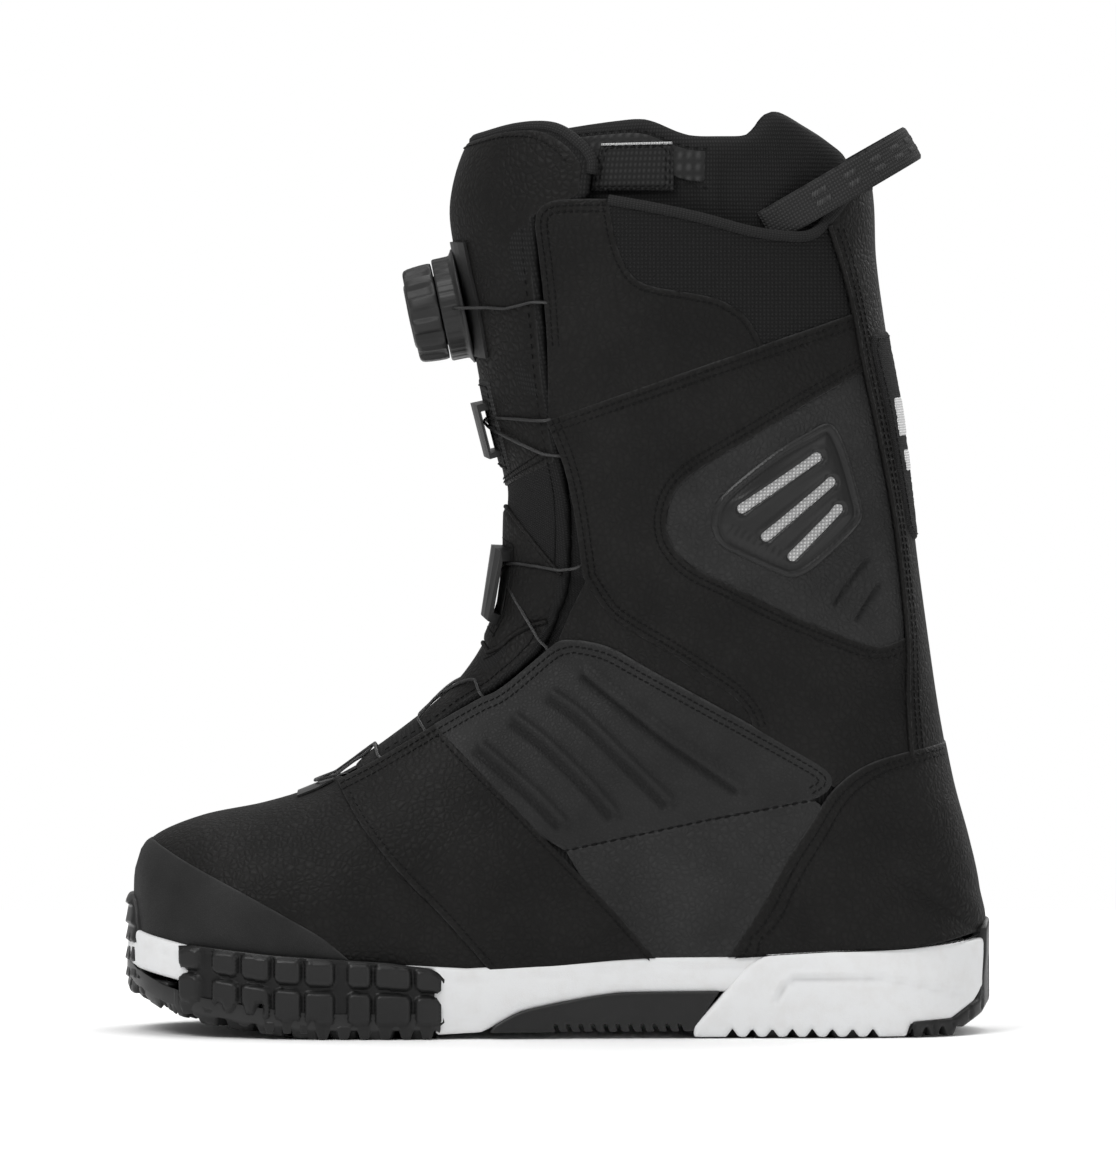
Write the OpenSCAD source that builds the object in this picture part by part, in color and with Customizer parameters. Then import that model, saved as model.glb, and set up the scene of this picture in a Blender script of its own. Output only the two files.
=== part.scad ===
// Snowboard boot, left foot, EU 42 shell: lasted upper on a cup sole, removable liner, front dial closure.
// +X runs from toe to heel, -Y is the outer (lateral) side, +Z is up. The boot stands on Z = 0.

/* [Boot] */
// Length of the whole boot, toe rubber to heel rubber
boot_length = 308; // [296:1:320]
// Height of the shell's tongue above the floor
boot_height = 321; // [310:1:332]
// Widest part of the upper, across the ball of the foot
ball_width = 110; // [104:1:116]

/* [Upper] */
// Thickness of one outer panel
panel_t = 1.2; // [1.0:0.1:1.3]
// Thickness of the lining that carries the panels
lining_t = 1.6; // [1.4:0.1:1.8]
// Thickness of the padded shell tongue
tongue_t = 4.2; // [3.6:0.1:4.6]
// Thickness of the liner's foam
liner_t = 5.6; // [5:0.1:5.8]

/* [Sole] */
// How far the sole stands out past the upper's bottom edge
welt = 3; // [2.5:0.1:3.4]
// Depth of the tread lugs
lug_h = 3.2; // [2.6:0.1:3.6]

/* [Dial] */
// Outer radius of the turning knob
knob_r = 17.6; // [17:0.1:18.4]
// Number of grips round the knob
knob_grips = 12; // [10:1:14]
// Diameter of the steel lace
lace_d = 1.1; // [0.9:0.1:1.2]

/* [Hidden] */
$fn = 48;

// Scales that carry the driving sizes into the tables below
sx = boot_length / 308;
sz = boot_height / 321;
sy = ball_width / 110;

// The upper is a row of plane sections that fan from the toe, through the instep, up the shaft.
// Each row: front point x, z; back or bottom point x, z; half width; skew of the widest place; centre
// line's y
ROWS = [[-152, 50, -151.8, 37, 3, 0, 8], [-149.5, 63, -149.5, 36, 18.5, 0, 8],
        [-143, 70.5, -143, 34.5, 31.5, 0, 7.5], [-127, 77, -127, 31, 45.5, 0, 6.5],
        [-105, 81.5, -105, 29, 53, 0, 5], [-85, 88.5, -83, 28, 55, 0, 3.5],
        [-68, 99.5, -58, 26, 54, 0, 2], [-51, 112, -32, 24.5, 51, 0, 1],
        [-38, 123, -4, 26, 47.5, 0, 0], [-29.5, 133.5, 28, 28.5, 45, -0.02, 0],
        [-24, 144, 62, 29, 43.5, -0.04, 0], [-21, 151.5, 98, 31, 43, -0.06, 0],
        [-19.8, 158, 128, 32, 43, -0.07, 0], [-19, 164, 150.5, 36, 43, -0.07, 0],
        [-18.6, 170, 149.8, 52, 43.5, -0.07, 0], [-18.3, 177, 146, 70, 44.5, -0.06, 0],
        [-18.2, 185, 140.5, 90, 45.5, -0.05, 0], [-18.4, 193, 136, 112, 46.5, -0.04, 0],
        [-19.6, 201, 132.5, 135, 47.5, -0.03, 0], [-22.5, 212, 129, 160, 49, -0.02, 0],
        [-26, 226, 125.5, 190, 51, 0, 0], [-29, 242, 121.5, 222, 53, 0.02, 0],
        [-32, 260, 116.5, 250, 55, 0.03, 0], [-36.5, 280, 113, 276, 56, 0.03, 0],
        [-38, 297, 112, 297, 57, 0.03, 0], [-33, 316, 109, 318, 56, 0.03, 0],
        [-22, 331, 101, 336, 54, 0.03, 0]];
LAST = len(ROWS) - 1;
heel_row = 13;        // the row whose back point is the heel's lower corner
squareness = 0.85;    // exponent of the section, 1 for an ellipse
edge_ratio = 0.95;    // bottom edge's half width over the section's, along the foot
heel_centre_x = 100;  // the bottom edge starts to round towards the heel here
heel_end_x = 150.5;
plan_power = 2.3;     // how square the heel is in plan

// Depths below the outermost skin
panel_gap = 0.5;
lining_out = panel_t + panel_gap;
lining_in = lining_out + lining_t;
toe_lining_out = lining_out + 0.5; // the toe's lining stands further in, where the panels curve most
toe_lining_in = toe_lining_out + lining_t - 0.3;
stiff_out = lining_in + 0.3;
stiff_in = stiff_out + 1;
liner_out = 6.4;
liner_in = liner_out + liner_t;
floor_gap = 2.6;      // board under the liner

function unit(v) = v / max(norm(v), 1e-9);
function lerp(a, b, t) = a + (b - a) * t;
function clamp(v, lo, hi) = max(lo, min(hi, v));
function reversed(l) = [for (i = [len(l) - 1:-1:0]) l[i]];

// Smooth curve through a list of rows
function curve_at(l, k) =
    let (n = len(l) - 1, i = clamp(floor(k), 0, n - 1), t = k - i,
         a = l[max(i - 1, 0)], b = l[i], c = l[i + 1], d = l[min(i + 2, n)])
    0.5 * (2 * b + (c - a) * t + (2 * a - 5 * b + 4 * c - d) * t * t + (3 * b - a - 3 * c + d) * t * t * t);

// The table moved inwards by d at the front, back and sides, and up by lift at the bottom
function slope(i, c) = unit([ROWS[min(i + 1, LAST)][c] - ROWS[max(i - 1, 0)][c],
                             ROWS[min(i + 1, LAST)][c + 1] - ROWS[max(i - 1, 0)][c + 1]]);
function inset_row(i, d, lift) =
    let (r = ROWS[i], f = slope(i, 0), b = slope(i, 2),
         fx = r[0] + (i == 0 ? d : d * f[1]), fz = r[1] - (i == 0 ? 0 : d * f[0]),
         bx = i < 5 ? fx : i < heel_row ? min(r[2], heel_end_x - d - (heel_row - i) * 8) : r[2] - d,
         bz = r[3] + (i <= heel_row ? lift : 0))
    [fx, fz, bx, bz, r[4] - d * min(1, r[4] / 20), r[5], r[6]];
function inset_table(d, lift) = [for (i = [0:LAST]) inset_row(i, d, lift)];

// A point of the skin: u counts rows from the toe; p goes from 0 at the front or top to -1 down the lateral
// side and 1 down the medial side, ending at the bottom edge or, past the heel row, at the back seam
function fold(p) = p > 1 ? p - 2 : p < -1 ? p + 2 : p;
function skin_of(table, end_x, u, p) =
    let (s = curve_at(table, u), q = fold(p), v = abs(q),
         far = clamp((s[2] - heel_centre_x) / (end_x - heel_centre_x), 0, 1),
         ratio = u < heel_row ? edge_ratio * pow(1 - pow(far, plan_power), 1 / plan_power) : 0,
         cos_end = -sqrt(1 - pow(ratio, 2 / squareness)),
         t = (1 - cos(180 * v)) / 2,
         c = 1 - t * (1 - cos_end),
         y = s[4] * pow(max(1 - c * c, 0), squareness / 2) * (1 + s[5] * c))
    [sx * lerp(s[0], s[2], t), sy * (s[6] + sign(q) * y), sz * lerp(s[1], s[3], t)];
function skin(u, p) = skin_of(ROWS, heel_end_x, u, p);
function outward(u, p) =
    let (q = fold(p), e = 0.004, k = u < heel_row ? clamp(q, e - 1, 1 - e) : q,
         uu = clamp(u, 0.1, LAST - 0.1))
    unit(cross(skin(uu + 0.1, q) - skin(uu - 0.1, q), skin(u, k + e) - skin(u, k - e)));
function at(u, p, d) = skin(u, p) - d * outward(u, p);

// The [u, p] of a point of the side view, by halving
function across(s, x, z) = (s[2] - s[0]) * (z - s[1]) - (s[3] - s[1]) * (x - s[0]);
function find_u(x, z, lo, hi, n) =
    n == 0 ? (lo + hi) / 2
           : let (m = (lo + hi) / 2) across(curve_at(ROWS, m), x, z) > 0 ? find_u(x, z, m, hi, n - 1)
                                                                         : find_u(x, z, lo, m, n - 1);
function uv(q) =
    let (u = find_u(q[0], q[1], 0, LAST, 20), s = curve_at(ROWS, u),
         t = norm([q[0] - s[0], q[1] - s[1]]) / norm([s[2] - s[0], s[3] - s[1]]))
    [u, acos(1 - 2 * clamp(t, 0, 1)) / 180];

// n + 1 points evenly along a polyline of the side view, keeping trim clear of both ends
function lengths(l, i = 1, sum = 0) =
    i > len(l) - 1 ? [sum] : concat([sum], lengths(l, i + 1, sum + norm(l[i] - l[i - 1])));
function pick(l, run, s, i = 1) = s <= run[i] || i == len(l) - 1
    ? lerp(l[i - 1], l[i], clamp((s - run[i - 1]) / max(run[i] - run[i - 1], 1e-9), 0, 1)) : pick(l, run, s,
                            i + 1);
function traced(l, n, trim = 0.3) =
    let (run = lengths(l), total = run[len(l) - 1])
    [for (i = [0:n]) uv(pick(l, run, trim + (total - 2 * trim) * i / n))];
function on_side(l, side) = [for (q = l) [q[0], side * q[1]]];
// A lateral line carried over the front centre, or round the back centre, on to the medial side
function over_front(l) = concat(on_side(l, -1), [for (i = [len(l) - 2:-1:0]) l[i]]);
function round_back(l) = concat(on_side(l, -1), [for (i = [len(l) - 2:-1:0]) [l[i][0], l[i][1] - 2 - 1e-5]]);

// A patch of [u, p] inside four side-view lines: c0 and c1 run the same way, d0 joins their starts, d1
// their ends
function coons(c0, c1, d0, d1, n, m) =
    let (a = traced(c0, n), b = traced(c1, n), d = traced(d0, m), e = traced(d1, m),
         p00 = uv(c0[0]), p10 = uv(c0[len(c0) - 1]), p01 = uv(c1[0]), p11 = uv(c1[len(c1) - 1]))
    [for (i = [0:n]) [for (j = [0:m]) let (s = i / n, t = j / m)
        lerp(a[i], b[i], t) + lerp(d[j], e[j], s) - lerp(lerp(p00, p10, s), lerp(p01, p11, s), t)]];
// A patch between two lines of [u, p], keeping the part trim of its width clear of both
function ruled(c0, c1, m, trim = 0.004) =
    [for (i = [0:len(c0) - 1]) [for (j = [0:m]) lerp(c0[i], c1[i], lerp(trim, 1 - trim, j / m))]];
function mirrored_grid(g) = [for (r = g) [for (q = r) [q[0], -q[1]]]];
function raised(g, d) = [for (r = g) [for (q = r) at(q[0], q[1], d)]];

// A closed slab between two grids of points
module slab(outer, inner) {
    n = len(outer) - 1;
    m = len(outer[0]) - 1;
    w = m + 1;
    k = (n + 1) * w;
    tri = [for (i = [0:n - 1], j = [0:m - 1]) let (a = i * w + j, b = a + 1, d = a + w, c = d + 1)
               each [[a, b, c], [a, c, d], [k + a, k + c, k + b], [k + a, k + d, k + c]],
           for (j = [0:m - 1]) let (a = j, b = j + 1, d = n * w + j, c = d + 1)
               each [[b, a, k + a], [b, k + a, k + b], [d, c, k + c], [d, k + c, k + d]],
           for (i = [0:n - 1]) let (a = i * w, d = a + w, b = a + m, c = d + m)
               each [[a, d, k + d], [a, k + d, k + a], [c, b, k + b], [c, k + b, k + c]]];
    i = floor(n / 2);
    j = floor(m / 2);
    turn = cross(outer[i + 1][j] - outer[i][j], outer[i][j + 1] - outer[i][j]) * (outer[i][j] - inner[i][j]);
    polyhedron([for (r = outer) each r, for (r = inner) each r],
               turn > 0 ? tri : [for (f = tri) reversed(f)], convexity = 10);
}

// A hollow tube, open at its last ring and, unless through is true, closed at its first
module sock(outer, inner, through = false) {
    n = len(outer) - 1;
    w = len(outer[0]);
    k = (n + 1) * w;
    tri = [for (i = [0:n - 1], j = [0:w - 1])
               let (a = i * w + j, b = i * w + (j + 1) % w, d = a + w, c = b + w)
               each [[a, b, c], [a, c, d], [k + a, k + c, k + b], [k + a, k + d, k + c]],
           for (j = [0:w - 1]) let (a = n * w + j, b = n * w + (j + 1) % w)
               each [[a, b, k + b], [a, k + b, k + a]],
           if (through) each [for (j = [0:w - 1]) let (b = (j + 1) % w) each [[b, j, k + j],
                                   [b, k + j, k + b]]]
           else each [for (j = [1:w - 2]) each [[0, j + 1, j], [k, k + j, k + j + 1]]]];
    i = floor(n / 2);
    j = floor(w / 2);
    turn = cross(outer[i + 1][j] - outer[i][j], outer[i][j + 1] - outer[i][j]) * (outer[i][j] - inner[i][j]);
    polyhedron([for (r = outer) each r, for (r = inner) each r],
               turn > 0 ? tri : [for (f = tri) reversed(f)], convexity = 10);
}

// A bar through plane rings of points, each ring turning from +Y to +Z and the rings running along +X;
// ends lists the faces that close a ring
module loft(rings, ends = undef) {
    w = len(rings[0]);
    n = len(rings) - 1;
    lids = is_undef(ends) ? [[for (j = [0:w - 1]) j]] : ends;
    polyhedron([for (r = rings) each r],
               [for (i = [0:n - 1], j = [0:w - 1])
                    let (a = i * w + j, b = i * w + (j + 1) % w, d = a + w, c = b + w)
                    each [[a, d, c], [a, c, b]],
                for (f = lids) each [f, [for (j = reversed(f)) n * w + j]]], convexity = 10);
}

// A round cord through a line of points, its frame carried along without twist
function cord_frames(l, i = 1, acc = []) =
    let (f = len(acc) == 0 ? [unit(cross(unit(l[1] - l[0]), [0.3, 1, 0.2]))] : acc)
    i > len(l) - 1 ? f
                   : let (t = unit(l[min(i + 1, len(l) - 1)] - l[i - 1]), v = f[i - 1],
                          w = unit(v - (v * t) * t))
                         cord_frames(l, i + 1, concat(f, [w]));
module cord(l, r, sides) {
    f = cord_frames(l);
    n = len(l) - 1;
    function dir(i) = unit(l[min(i + 1, n)] - l[max(i - 1, 0)]);
    polyhedron([for (i = [0:n]) let (b = cross(dir(i), f[i])) for (j = [0:sides - 1]) let (a = 360 * j / sides)
                    l[i] + r * (cos(a) * f[i] + sin(a) * b)],
               [for (i = [0:n - 1], j = [0:sides - 1])
                    let (a = i * sides + j, b = i * sides + (j + 1) % sides, d = a + sides, c = b + sides)
                    each [[a, d, c], [a, c, b]],
                [for (j = [0:sides - 1]) j],
                [for (j = [sides - 1:-1:0]) n * sides + j]], convexity = 10);
}

// A panel on one side, given as a patch of [u, p]
module panel(grid, side, top, bottom) {
    g = side < 0 ? mirrored_grid(grid) : grid;
    slab(raised(g, top), raised(g, bottom));
}

// Lines of the pattern, in side-view x, z
vamp_seam = [[-24, 24.6], [-33, 35], [-42, 45], [-53, 56], [-62, 66], [-69, 75], [-74, 83], [-78, 90]];
toe_line = [[-73, 27.6], [-83, 36], [-96, 43.5], [-110, 51], [-122, 57], [-133, 62.5], [-143, 68]];
instep_front = [[35, 28.6], [19, 47], [1, 65.5], [-13, 80], [-28, 95], [-43, 110]];
instep_top = [[-2, 138.5], [12, 141.5], [33, 131.5], [51, 121.5], [69, 112], [87, 102], [96, 96]];
instep_low = [[3, 64], [51, 77], [87, 86.5], [96, 91]];
throat_low = [[-43, 110], [-54, 103.5], [-65, 97], [-78, 90]];
counter_line = [[60.5, 28.8], [64, 34], [73, 48], [81.5, 63.5], [89, 75], [96, 86], [103, 93], [112, 98],
                [125, 101.5], [138.4, 104]];
back_seam = [[124, 102], [124.2, 120], [124, 141], [122.4, 159], [120.3, 177], [117.4, 195], [113.8, 213],
             [109.2, 234], [105, 256], [100.6, 274], [96, 288.5]];
cuff_front = [[-3, 220], [-3.6, 245], [-4.5, 262], [-6, 274], [-7.5, 289]];
cuff_back = [[71, 246.5], [67, 256], [58, 262], [47, 264.5], [35, 266.5], [28, 269], [23.5, 274.5],
             [20.5, 283], [18, 297]];
collar_line = [[18, 297], [33, 294.5], [51, 291], [69, 286], [83.5, 284.3], [96, 288.5]];
badge_line = [[122.3, 141.5], [115.5, 139], [108, 140.5], [97.5, 144.5], [80, 152], [62, 161], [48, 168],
              [41, 175.5],
              [39, 182.5], [40, 190], [44, 197], [53, 204], [69, 213.5], [87, 224.5], [103, 233.5],
                  [109, 236]];

// Half width in p of the throat that the tongue fills, row by row, from row 5 to row 25
THROAT = [0.06, 0.14, 0.165, 0.17, 0.21, 0.232, 0.235, 0.228, 0.222, 0.236, 0.245, 0.25, 0.255, 0.26, 0.265,
          0.27, 0.275, 0.285, 0.3, 0.31, 0.32];
function throat(u) = curve_at(THROAT, clamp(u - 5, 0, 20));

// Plan of the sole at the upper's bottom edge: x, half width, centre line's y
PLAN = [[-160, 55, 8], [-127, 55.5, 6.5], [-105, 54.5, 5], [-83, 54, 3.5], [-58, 52.5, 2], [-32, 49, 1],
        [-4, 45.5, 0], [28, 43, 0], [62, 41.5, 0], [98, 41.5, 0], [128, 41.5, 0], [160, 41.5, 0]];
// Upper's bottom edge, walking surface and arch edge: x, z
TOP_Z = [[-156, 38], [-151.8, 36.7], [-143, 34.2], [-127, 30.7], [-105, 28.7], [-83, 27.7], [-58, 25.7],
         [-32, 24.2], [-4, 25.7], [28, 28.2], [62, 28.7], [98, 30.7], [128, 31.7], [156, 34]];
BASE_Z = [[-156, 20], [-150, 14], [-140, 9], [-125, 5], [-105, 2], [-85, 0], [124, 0], [140, 3], [150, 8],
          [156, 14]];
ARCH_Z = [[-38, 9], [-22, 9.5], [-14, 11], [21, 16], [60, 16.5]];
plan_x = [-152, 151];
waist_x = -41;
pod_x = 61;
heel_break = 124;
rubber_t = 2.4;
wall_t = 1.5;
function look(table, x, c = 1, i = 1) = x <= table[i][0] || i == len(table) - 1
    ? lerp(table[i - 1][c], table[i][c], clamp((x - table[i - 1][0]) / (table[i][0] - table[i - 1][0]), 0, 1))
    : look(table, x, c, i + 1);
function plan_end(x, grow) =
    let (a = clamp((-80 - x) / (-80 - plan_x[0] + grow), 0, 1),
         b = clamp((x - 96) / (plan_x[1] - 96 + grow), 0, 1))
    pow(1 - pow(a, plan_power), 1 / plan_power) * pow(1 - pow(b, plan_power), 1 / plan_power);
function half(x, grow) = max((look(PLAN, x) + grow - 0.6) * plan_end(x, grow), 0.3);
function mid(x) = look(PLAN, x, 2);
// Stations along the sole, closer together towards a rounded end
function stations(x0, x1, n, ease) =
    [for (i = [0:n]) let (t = i / n) lerp(x0, x1, ease < 0 ? 1 - cos(90 * t) : ease > 0 ? sin(90 * t) : t)];
module sole_bar(xs, grow, low, high) {
    loft([for (x = xs) let (h = half(x, grow), y = mid(x))
              [for (q = [[-h, low(x)], [h, low(x)], [h, high(x)], [-h, high(x)]]) [sx * x, sy * (y + q[0]),
                                      sz * q[1]]]]);
}
// The faces that close a tray's end: its floor and its two rims
TRAY_ENDS = [[0, 1, 4, 5], [1, 2, 3, 4], [0, 5, 6, 7]];
module sole_tray(xs, grow, low, floor_z, rim) {
    loft([for (x = xs) let (h = half(x, grow), g = half(x, grow - wall_t), y = mid(x), a = low(x),
                            b = floor_z(x), c = rim(x))
              [for (q = [[-h, a], [h, a], [h, c], [g, c], [g, b], [-g, b], [-g, c], [-h, c]])
                   [sx * x, sy * (y + q[0]), sz * q[1]]]], TRAY_ENDS);
}
// A wall round an end of the sole, between two heights
module end_wall(x_start, tip, grow, low, high) {
    xs = stations(tip, x_start, 10, -1);
    path = concat([for (i = [10:-1:0]) [xs[i], -1]], [for (i = [0:10]) [xs[i], 1]]);
    function edge(q, g) = let (far = tip < 0 ? tip - g : tip + g,
                            x = lerp(far, x_start, (q[0] - tip) / (x_start - tip)))
        [x, mid(x) + q[1] * half(x, g)];
    function row(g) = [for (q = path) let (e = edge(q,
                            g)) [for (f = [0, 0.5, 1]) let (z = lerp(low(q[0]), high(q[0]), f))
        [sx * e[0], sy * e[1], sz * z]]];
    slab(row(grow), row(grow - wall_t));
}
module lug(x, y, l, w) {
    translate([sx * x - l / 2, sy * y - w / 2, sz * look(BASE_Z, x)]) cube([l, w, lug_h + 0.3]);
}

module shank_slot(c) {
    translate([sx * -10 - c, -12 - c, 20 - c]) cube([sx * 96 + 2 * c, 24 + 2 * c, 2 + 2 * c]);
}
module midsole() {
    color("white") difference() {
        sole_bar(concat(stations(-153.2, -128, 10, -1), [for (x = [-116:12:pod_x - 14]) x], [pod_x - 0.15]),
                 welt - 1.6,
                 function(x) x < waist_x ? look(BASE_Z, x) + lug_h + rubber_t + 0.1 : 5.6,
                     function(x) look(TOP_Z, x) - 0.3);
        shank_slot(0.1);
    }
}
module heel_pod() {
    color("white") difference() {
        sole_bar(concat([pod_x + 0.15, 74, 86, 98, 110, heel_break - 0.3],
                        stations(heel_break, 152.2, 10, 1)), welt - 1.6,
                 function(x) x < heel_break ? 0 : look(BASE_Z, x) + lug_h + rubber_t + 0.1,
                     function(x) look(TOP_Z, x) - 0.3);
        shank_slot(0.1);
        for (x = [66:8:120]) translate([sx * x, 0, -0.4]) rotate([0, 45, 0]) cube([2.6, 120, 2.6],
                                center = true);
    }
}
module arch_insert() {
    color([0.1, 0.1, 0.1]) sole_tray([for (x = [waist_x + 1:8.2:pod_x - 1]) x], welt,
        function(x) 3, function(x) 5.5, function(x) look(ARCH_Z, x));
}
module outsole_forefoot() {
    color([0.1, 0.1, 0.1]) {
        sole_tray([for (x = [-128:7.9:waist_x + 0.1]) x], welt, function(x) look(BASE_Z, x) + lug_h,
                  function(x) look(BASE_Z, x) + lug_h + rubber_t, function(x) look(TOP_Z, x) - 0.8);
        for (x = [-118:14:-48], y = [-40, -20, 0, 20, 40]) lug(x, y + mid(x), 10, 15);
    }
}
module toe_tread() {
    color([0.1, 0.1, 0.1]) {
        end_wall(-131, plan_x[0], welt, function(x) look(BASE_Z, x) + 3,
                 function(x) lerp(49, 34, (x + 152) / 21));
        sole_bar(stations(-151, -128.3, 8, -1), welt - 1.6, function(x) look(BASE_Z, x) + lug_h - 0.2,
                 function(x) look(BASE_Z, x) + lug_h + rubber_t);
        for (y = [-26, 0, 26]) lug(-136, y + mid(-136), 9, 15);
    }
}
module heel_tread() {
    color([0.1, 0.1, 0.1]) {
        end_wall(132, plan_x[1], welt, function(x) look(BASE_Z, x) + 3,
                 function(x) lerp(38, 30, (151 - x) / 19));
        sole_bar(concat([heel_break], stations(128, 150.5, 8, 1)), welt - 1.6,
                 function(x) look(BASE_Z, x) + lug_h - 0.2,
                 function(x) look(BASE_Z, x) + lug_h + rubber_t);
        for (y = [-26, 0, 26]) lug(131, y, 10, 16);
    }
}
module insole_board() {
    color([0.75, 0.7, 0.6]) sole_bar(concat(stations(-146, -126, 8, -1), [for (x = [-112:14:112]) x],
                            stations(120, 144.5, 8, 1)),
        -5, function(x) look(TOP_Z, x), function(x) look(TOP_Z, x) + 2);
}
module shank() {
    color([0.6, 0.6, 0.62]) shank_slot(0);
}

// Upper: the lining and stiffeners under the panels
lining_split = 5.4;
TOP_U = traced(concat([[-7.5, 289], [-2, 295.5]], collar_line,
                      [[101.5, 295.5], [106.5, 300], [109.9, 301.5]]), 24, 0);
function top_u(v) = look([for (q = TOP_U) [q[1], q[0]]], v);
module vamp_lining() {
    color([0.2, 0.2, 0.21]) {
        g = [for (u = [0.12, 0.6, 1.2, 2, 3, 4, 5, lining_split - 0.03])
                 [for (j = [0:24]) [u, lerp(-1, 1, j / 24)]]];
        slab(raised(g, toe_lining_out), raised(g, toe_lining_in));
    }
}
// The lining stands further in round the heel and beside the throat's lower end, where the panels curve most
function room(u, p) = 0.5 * clamp((18.8 - u) / 0.6, 0, 1) * clamp((abs(p) - 0.55) / 0.1, 0,
                        1) + 0.35 * clamp(9 - u, 0, 1);
function quarter_p(u, t) = lerp(throat(u) + 0.05, 0.9985, 1 - pow(1 - t, 1.25));
module quarter_lining(side) {
    n = 18;
    m = 17;
    g = [for (i = [0:n]) [for (j = [0:m])
            let (v = quarter_p(lerp(lining_split, 23.6, i / n), j / m),
                 u = lerp(lining_split, top_u(v) - 0.03, i / n))
            [u, quarter_p(u, j / m)]]];
    function layer(d, f) = [for (r = g) [for (q = r) at(q[0], side * q[1], d + f * room(q[0], q[1]))]];
    color([0.2, 0.2, 0.21]) slab(layer(lining_out, 1), layer(lining_in, 0.6));
}
module quarter_lining_lateral() { quarter_lining(-1); }
module quarter_lining_medial() { quarter_lining(1); }
module toe_puff() {
    g = [for (u = [0.6, 1.2, 2, 3, 3.8]) [for (j = [0:16]) [u, lerp(-0.9, 0.9, j / 16)]]];
    color([0.85, 0.83, 0.78]) slab(raised(g, stiff_out + 0.3), raised(g, stiff_in + 0.3));
}
module heel_stiffener() {
    g = [for (i = [0:8]) let (u = lerp(13.9, 18, i / 8), w = lerp(0.48, 0.36, i / 8))
            [for (j = [0:18]) [u, -1 + w - 2 * w * j / 18]]];
    color([0.85, 0.83, 0.78]) slab(raised(g, stiff_out + 0.5), raised(g, stiff_in + 0.3));
}
module spine_stiffener() {
    g = [for (i = [0:10]) let (u = lerp(18.2, 23.2, i / 10), w = lerp(0.2, 0.13, i / 10))
            [for (j = [0:8]) [u, -1 + w - 2 * w * j / 8]]];
    color([0.3, 0.3, 0.31]) slab(raised(g, stiff_out), raised(g, stiff_in));
}

// Upper: the panels
toe_curve = traced(toe_line, 10, 0);
toe_over = over_front(concat(toe_curve, [[toe_curve[10][0], 0]]));
vamp_curve = traced(vamp_seam, 10, 0);
vamp_over = over_front(concat(vamp_curve, [[vamp_curve[10][0], 0]]));
module vamp() {
    color([0.09, 0.09, 0.1]) {
        g = ruled(toe_over, vamp_over, 8);
        slab(raised(g, 0), raised(g, panel_t));
    }
}
module toe_overlay() {
    nose = [for (q = toe_over) [0.1, q[1]]];
    g = ruled(nose, toe_over, 5, 0.006);
    color([0.24, 0.24, 0.25]) slab(raised(g, 0), raised(g, panel_t));
}
module forefoot_quarter(side) {
    g = coons(vamp_seam, instep_front, [vamp_seam[0], instep_front[0]], reversed(throat_low), 10, 6);
    color([0.12, 0.12, 0.13]) panel(g, side, 0, panel_t);
}
module forefoot_quarter_lateral() { forefoot_quarter(-1); }
module forefoot_quarter_medial() { forefoot_quarter(1); }
instep_edge = [[3, 64], [-13, 80], [-28, 95], [-43, 110], [-28.5, 123], [-20.5, 126.5], [-2, 138.5]];
module instep_panel(side) {
    g = coons(instep_low, instep_top, instep_edge, [[96, 91], [96, 93.5], [96, 96]], 14, 10);
    color([0.3, 0.3, 0.31]) panel(g, side, 0, panel_t);
}
module instep_panel_lateral() { instep_panel(-1); }
module instep_panel_medial() { instep_panel(1); }
side_back = [[60.5, 28.8], [64, 34], [73, 48], [81.5, 63.5], [89, 75], [96, 86], [96, 91]];
module side_panel(side) {
    g = coons([[35, 28.6], [19, 47], [3, 64]], side_back, [[35, 28.6], [60.5, 28.8]], instep_low, 8, 8);
    color([0.33, 0.33, 0.34]) panel(g, side, 0, panel_t);
}
module side_panel_lateral() { side_panel(-1); }
module side_panel_medial() { side_panel(1); }
wrap_outer = [[125, 101.7], [112, 98.2], [96, 96], [87, 102], [69, 112], [51, 121.5], [33, 131.5],
              [12, 141.5],
              [-2, 138.5], [4, 150], [7.5, 159], [5, 173.5], [2, 191.5], [0, 205], [-3, 220], [16, 226],
                  [33, 232.5],
              [69, 245], [104.5, 257]];
wrap_inner = concat([[122.8, 138]], badge_line, [[108.6, 237]]);
module ankle_wrap(side) {
    g = ruled(traced(wrap_inner, 34), traced(wrap_outer, 34), 4, 0.006);
    color([0.08, 0.08, 0.09]) panel(g, side, 0, panel_t);
}
module ankle_wrap_lateral() { ankle_wrap(-1); }
module ankle_wrap_medial() { ankle_wrap(1); }
badge_low = [[122.3, 141.5], [115.5, 139], [108, 140.5], [97.5, 144.5], [80, 152], [62, 161], [48, 168],
             [41, 175.5]];
badge_high = [[109, 236], [103, 233.5], [87, 224.5], [69, 213.5], [53, 204], [44, 197], [40, 190],
              [39, 182.5]];
module ankle_panel(side) {
    g = coons(badge_low, badge_high, [[122.3, 141.5], [122.4, 159], [120.3, 177], [117.4, 195], [113.8, 213],
                            [109, 236]],
              [[41, 175.5], [39.6, 179], [39, 182.5]], 9, 8);
    color([0.3, 0.3, 0.32]) panel(g, side, 0, panel_t);
}
module ankle_panel_lateral() { ankle_panel(-1); }
module ankle_panel_medial() { ankle_panel(1); }
vent_low = [[55, 178], [63.5, 172], [75, 168], [86, 165], [97, 172], [104, 180]];
vent_high = [[55, 186], [64, 197], [77, 209], [90, 217.5], [97, 213], [104.5, 203]];
VENT = coons(vent_low, vent_high, [[55, 178], [54, 182], [55, 186]],
             [[104, 180], [107.2, 190], [104.5, 203]], 8, 6);
VENT_IN = coons([[60, 179], [75, 172], [86, 169], [100, 181]], [[60, 186], [77, 204], [90, 213], [101, 202]],
                [[60, 179], [60, 186]], [[100, 181], [101, 202]], 6, 5);
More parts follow.
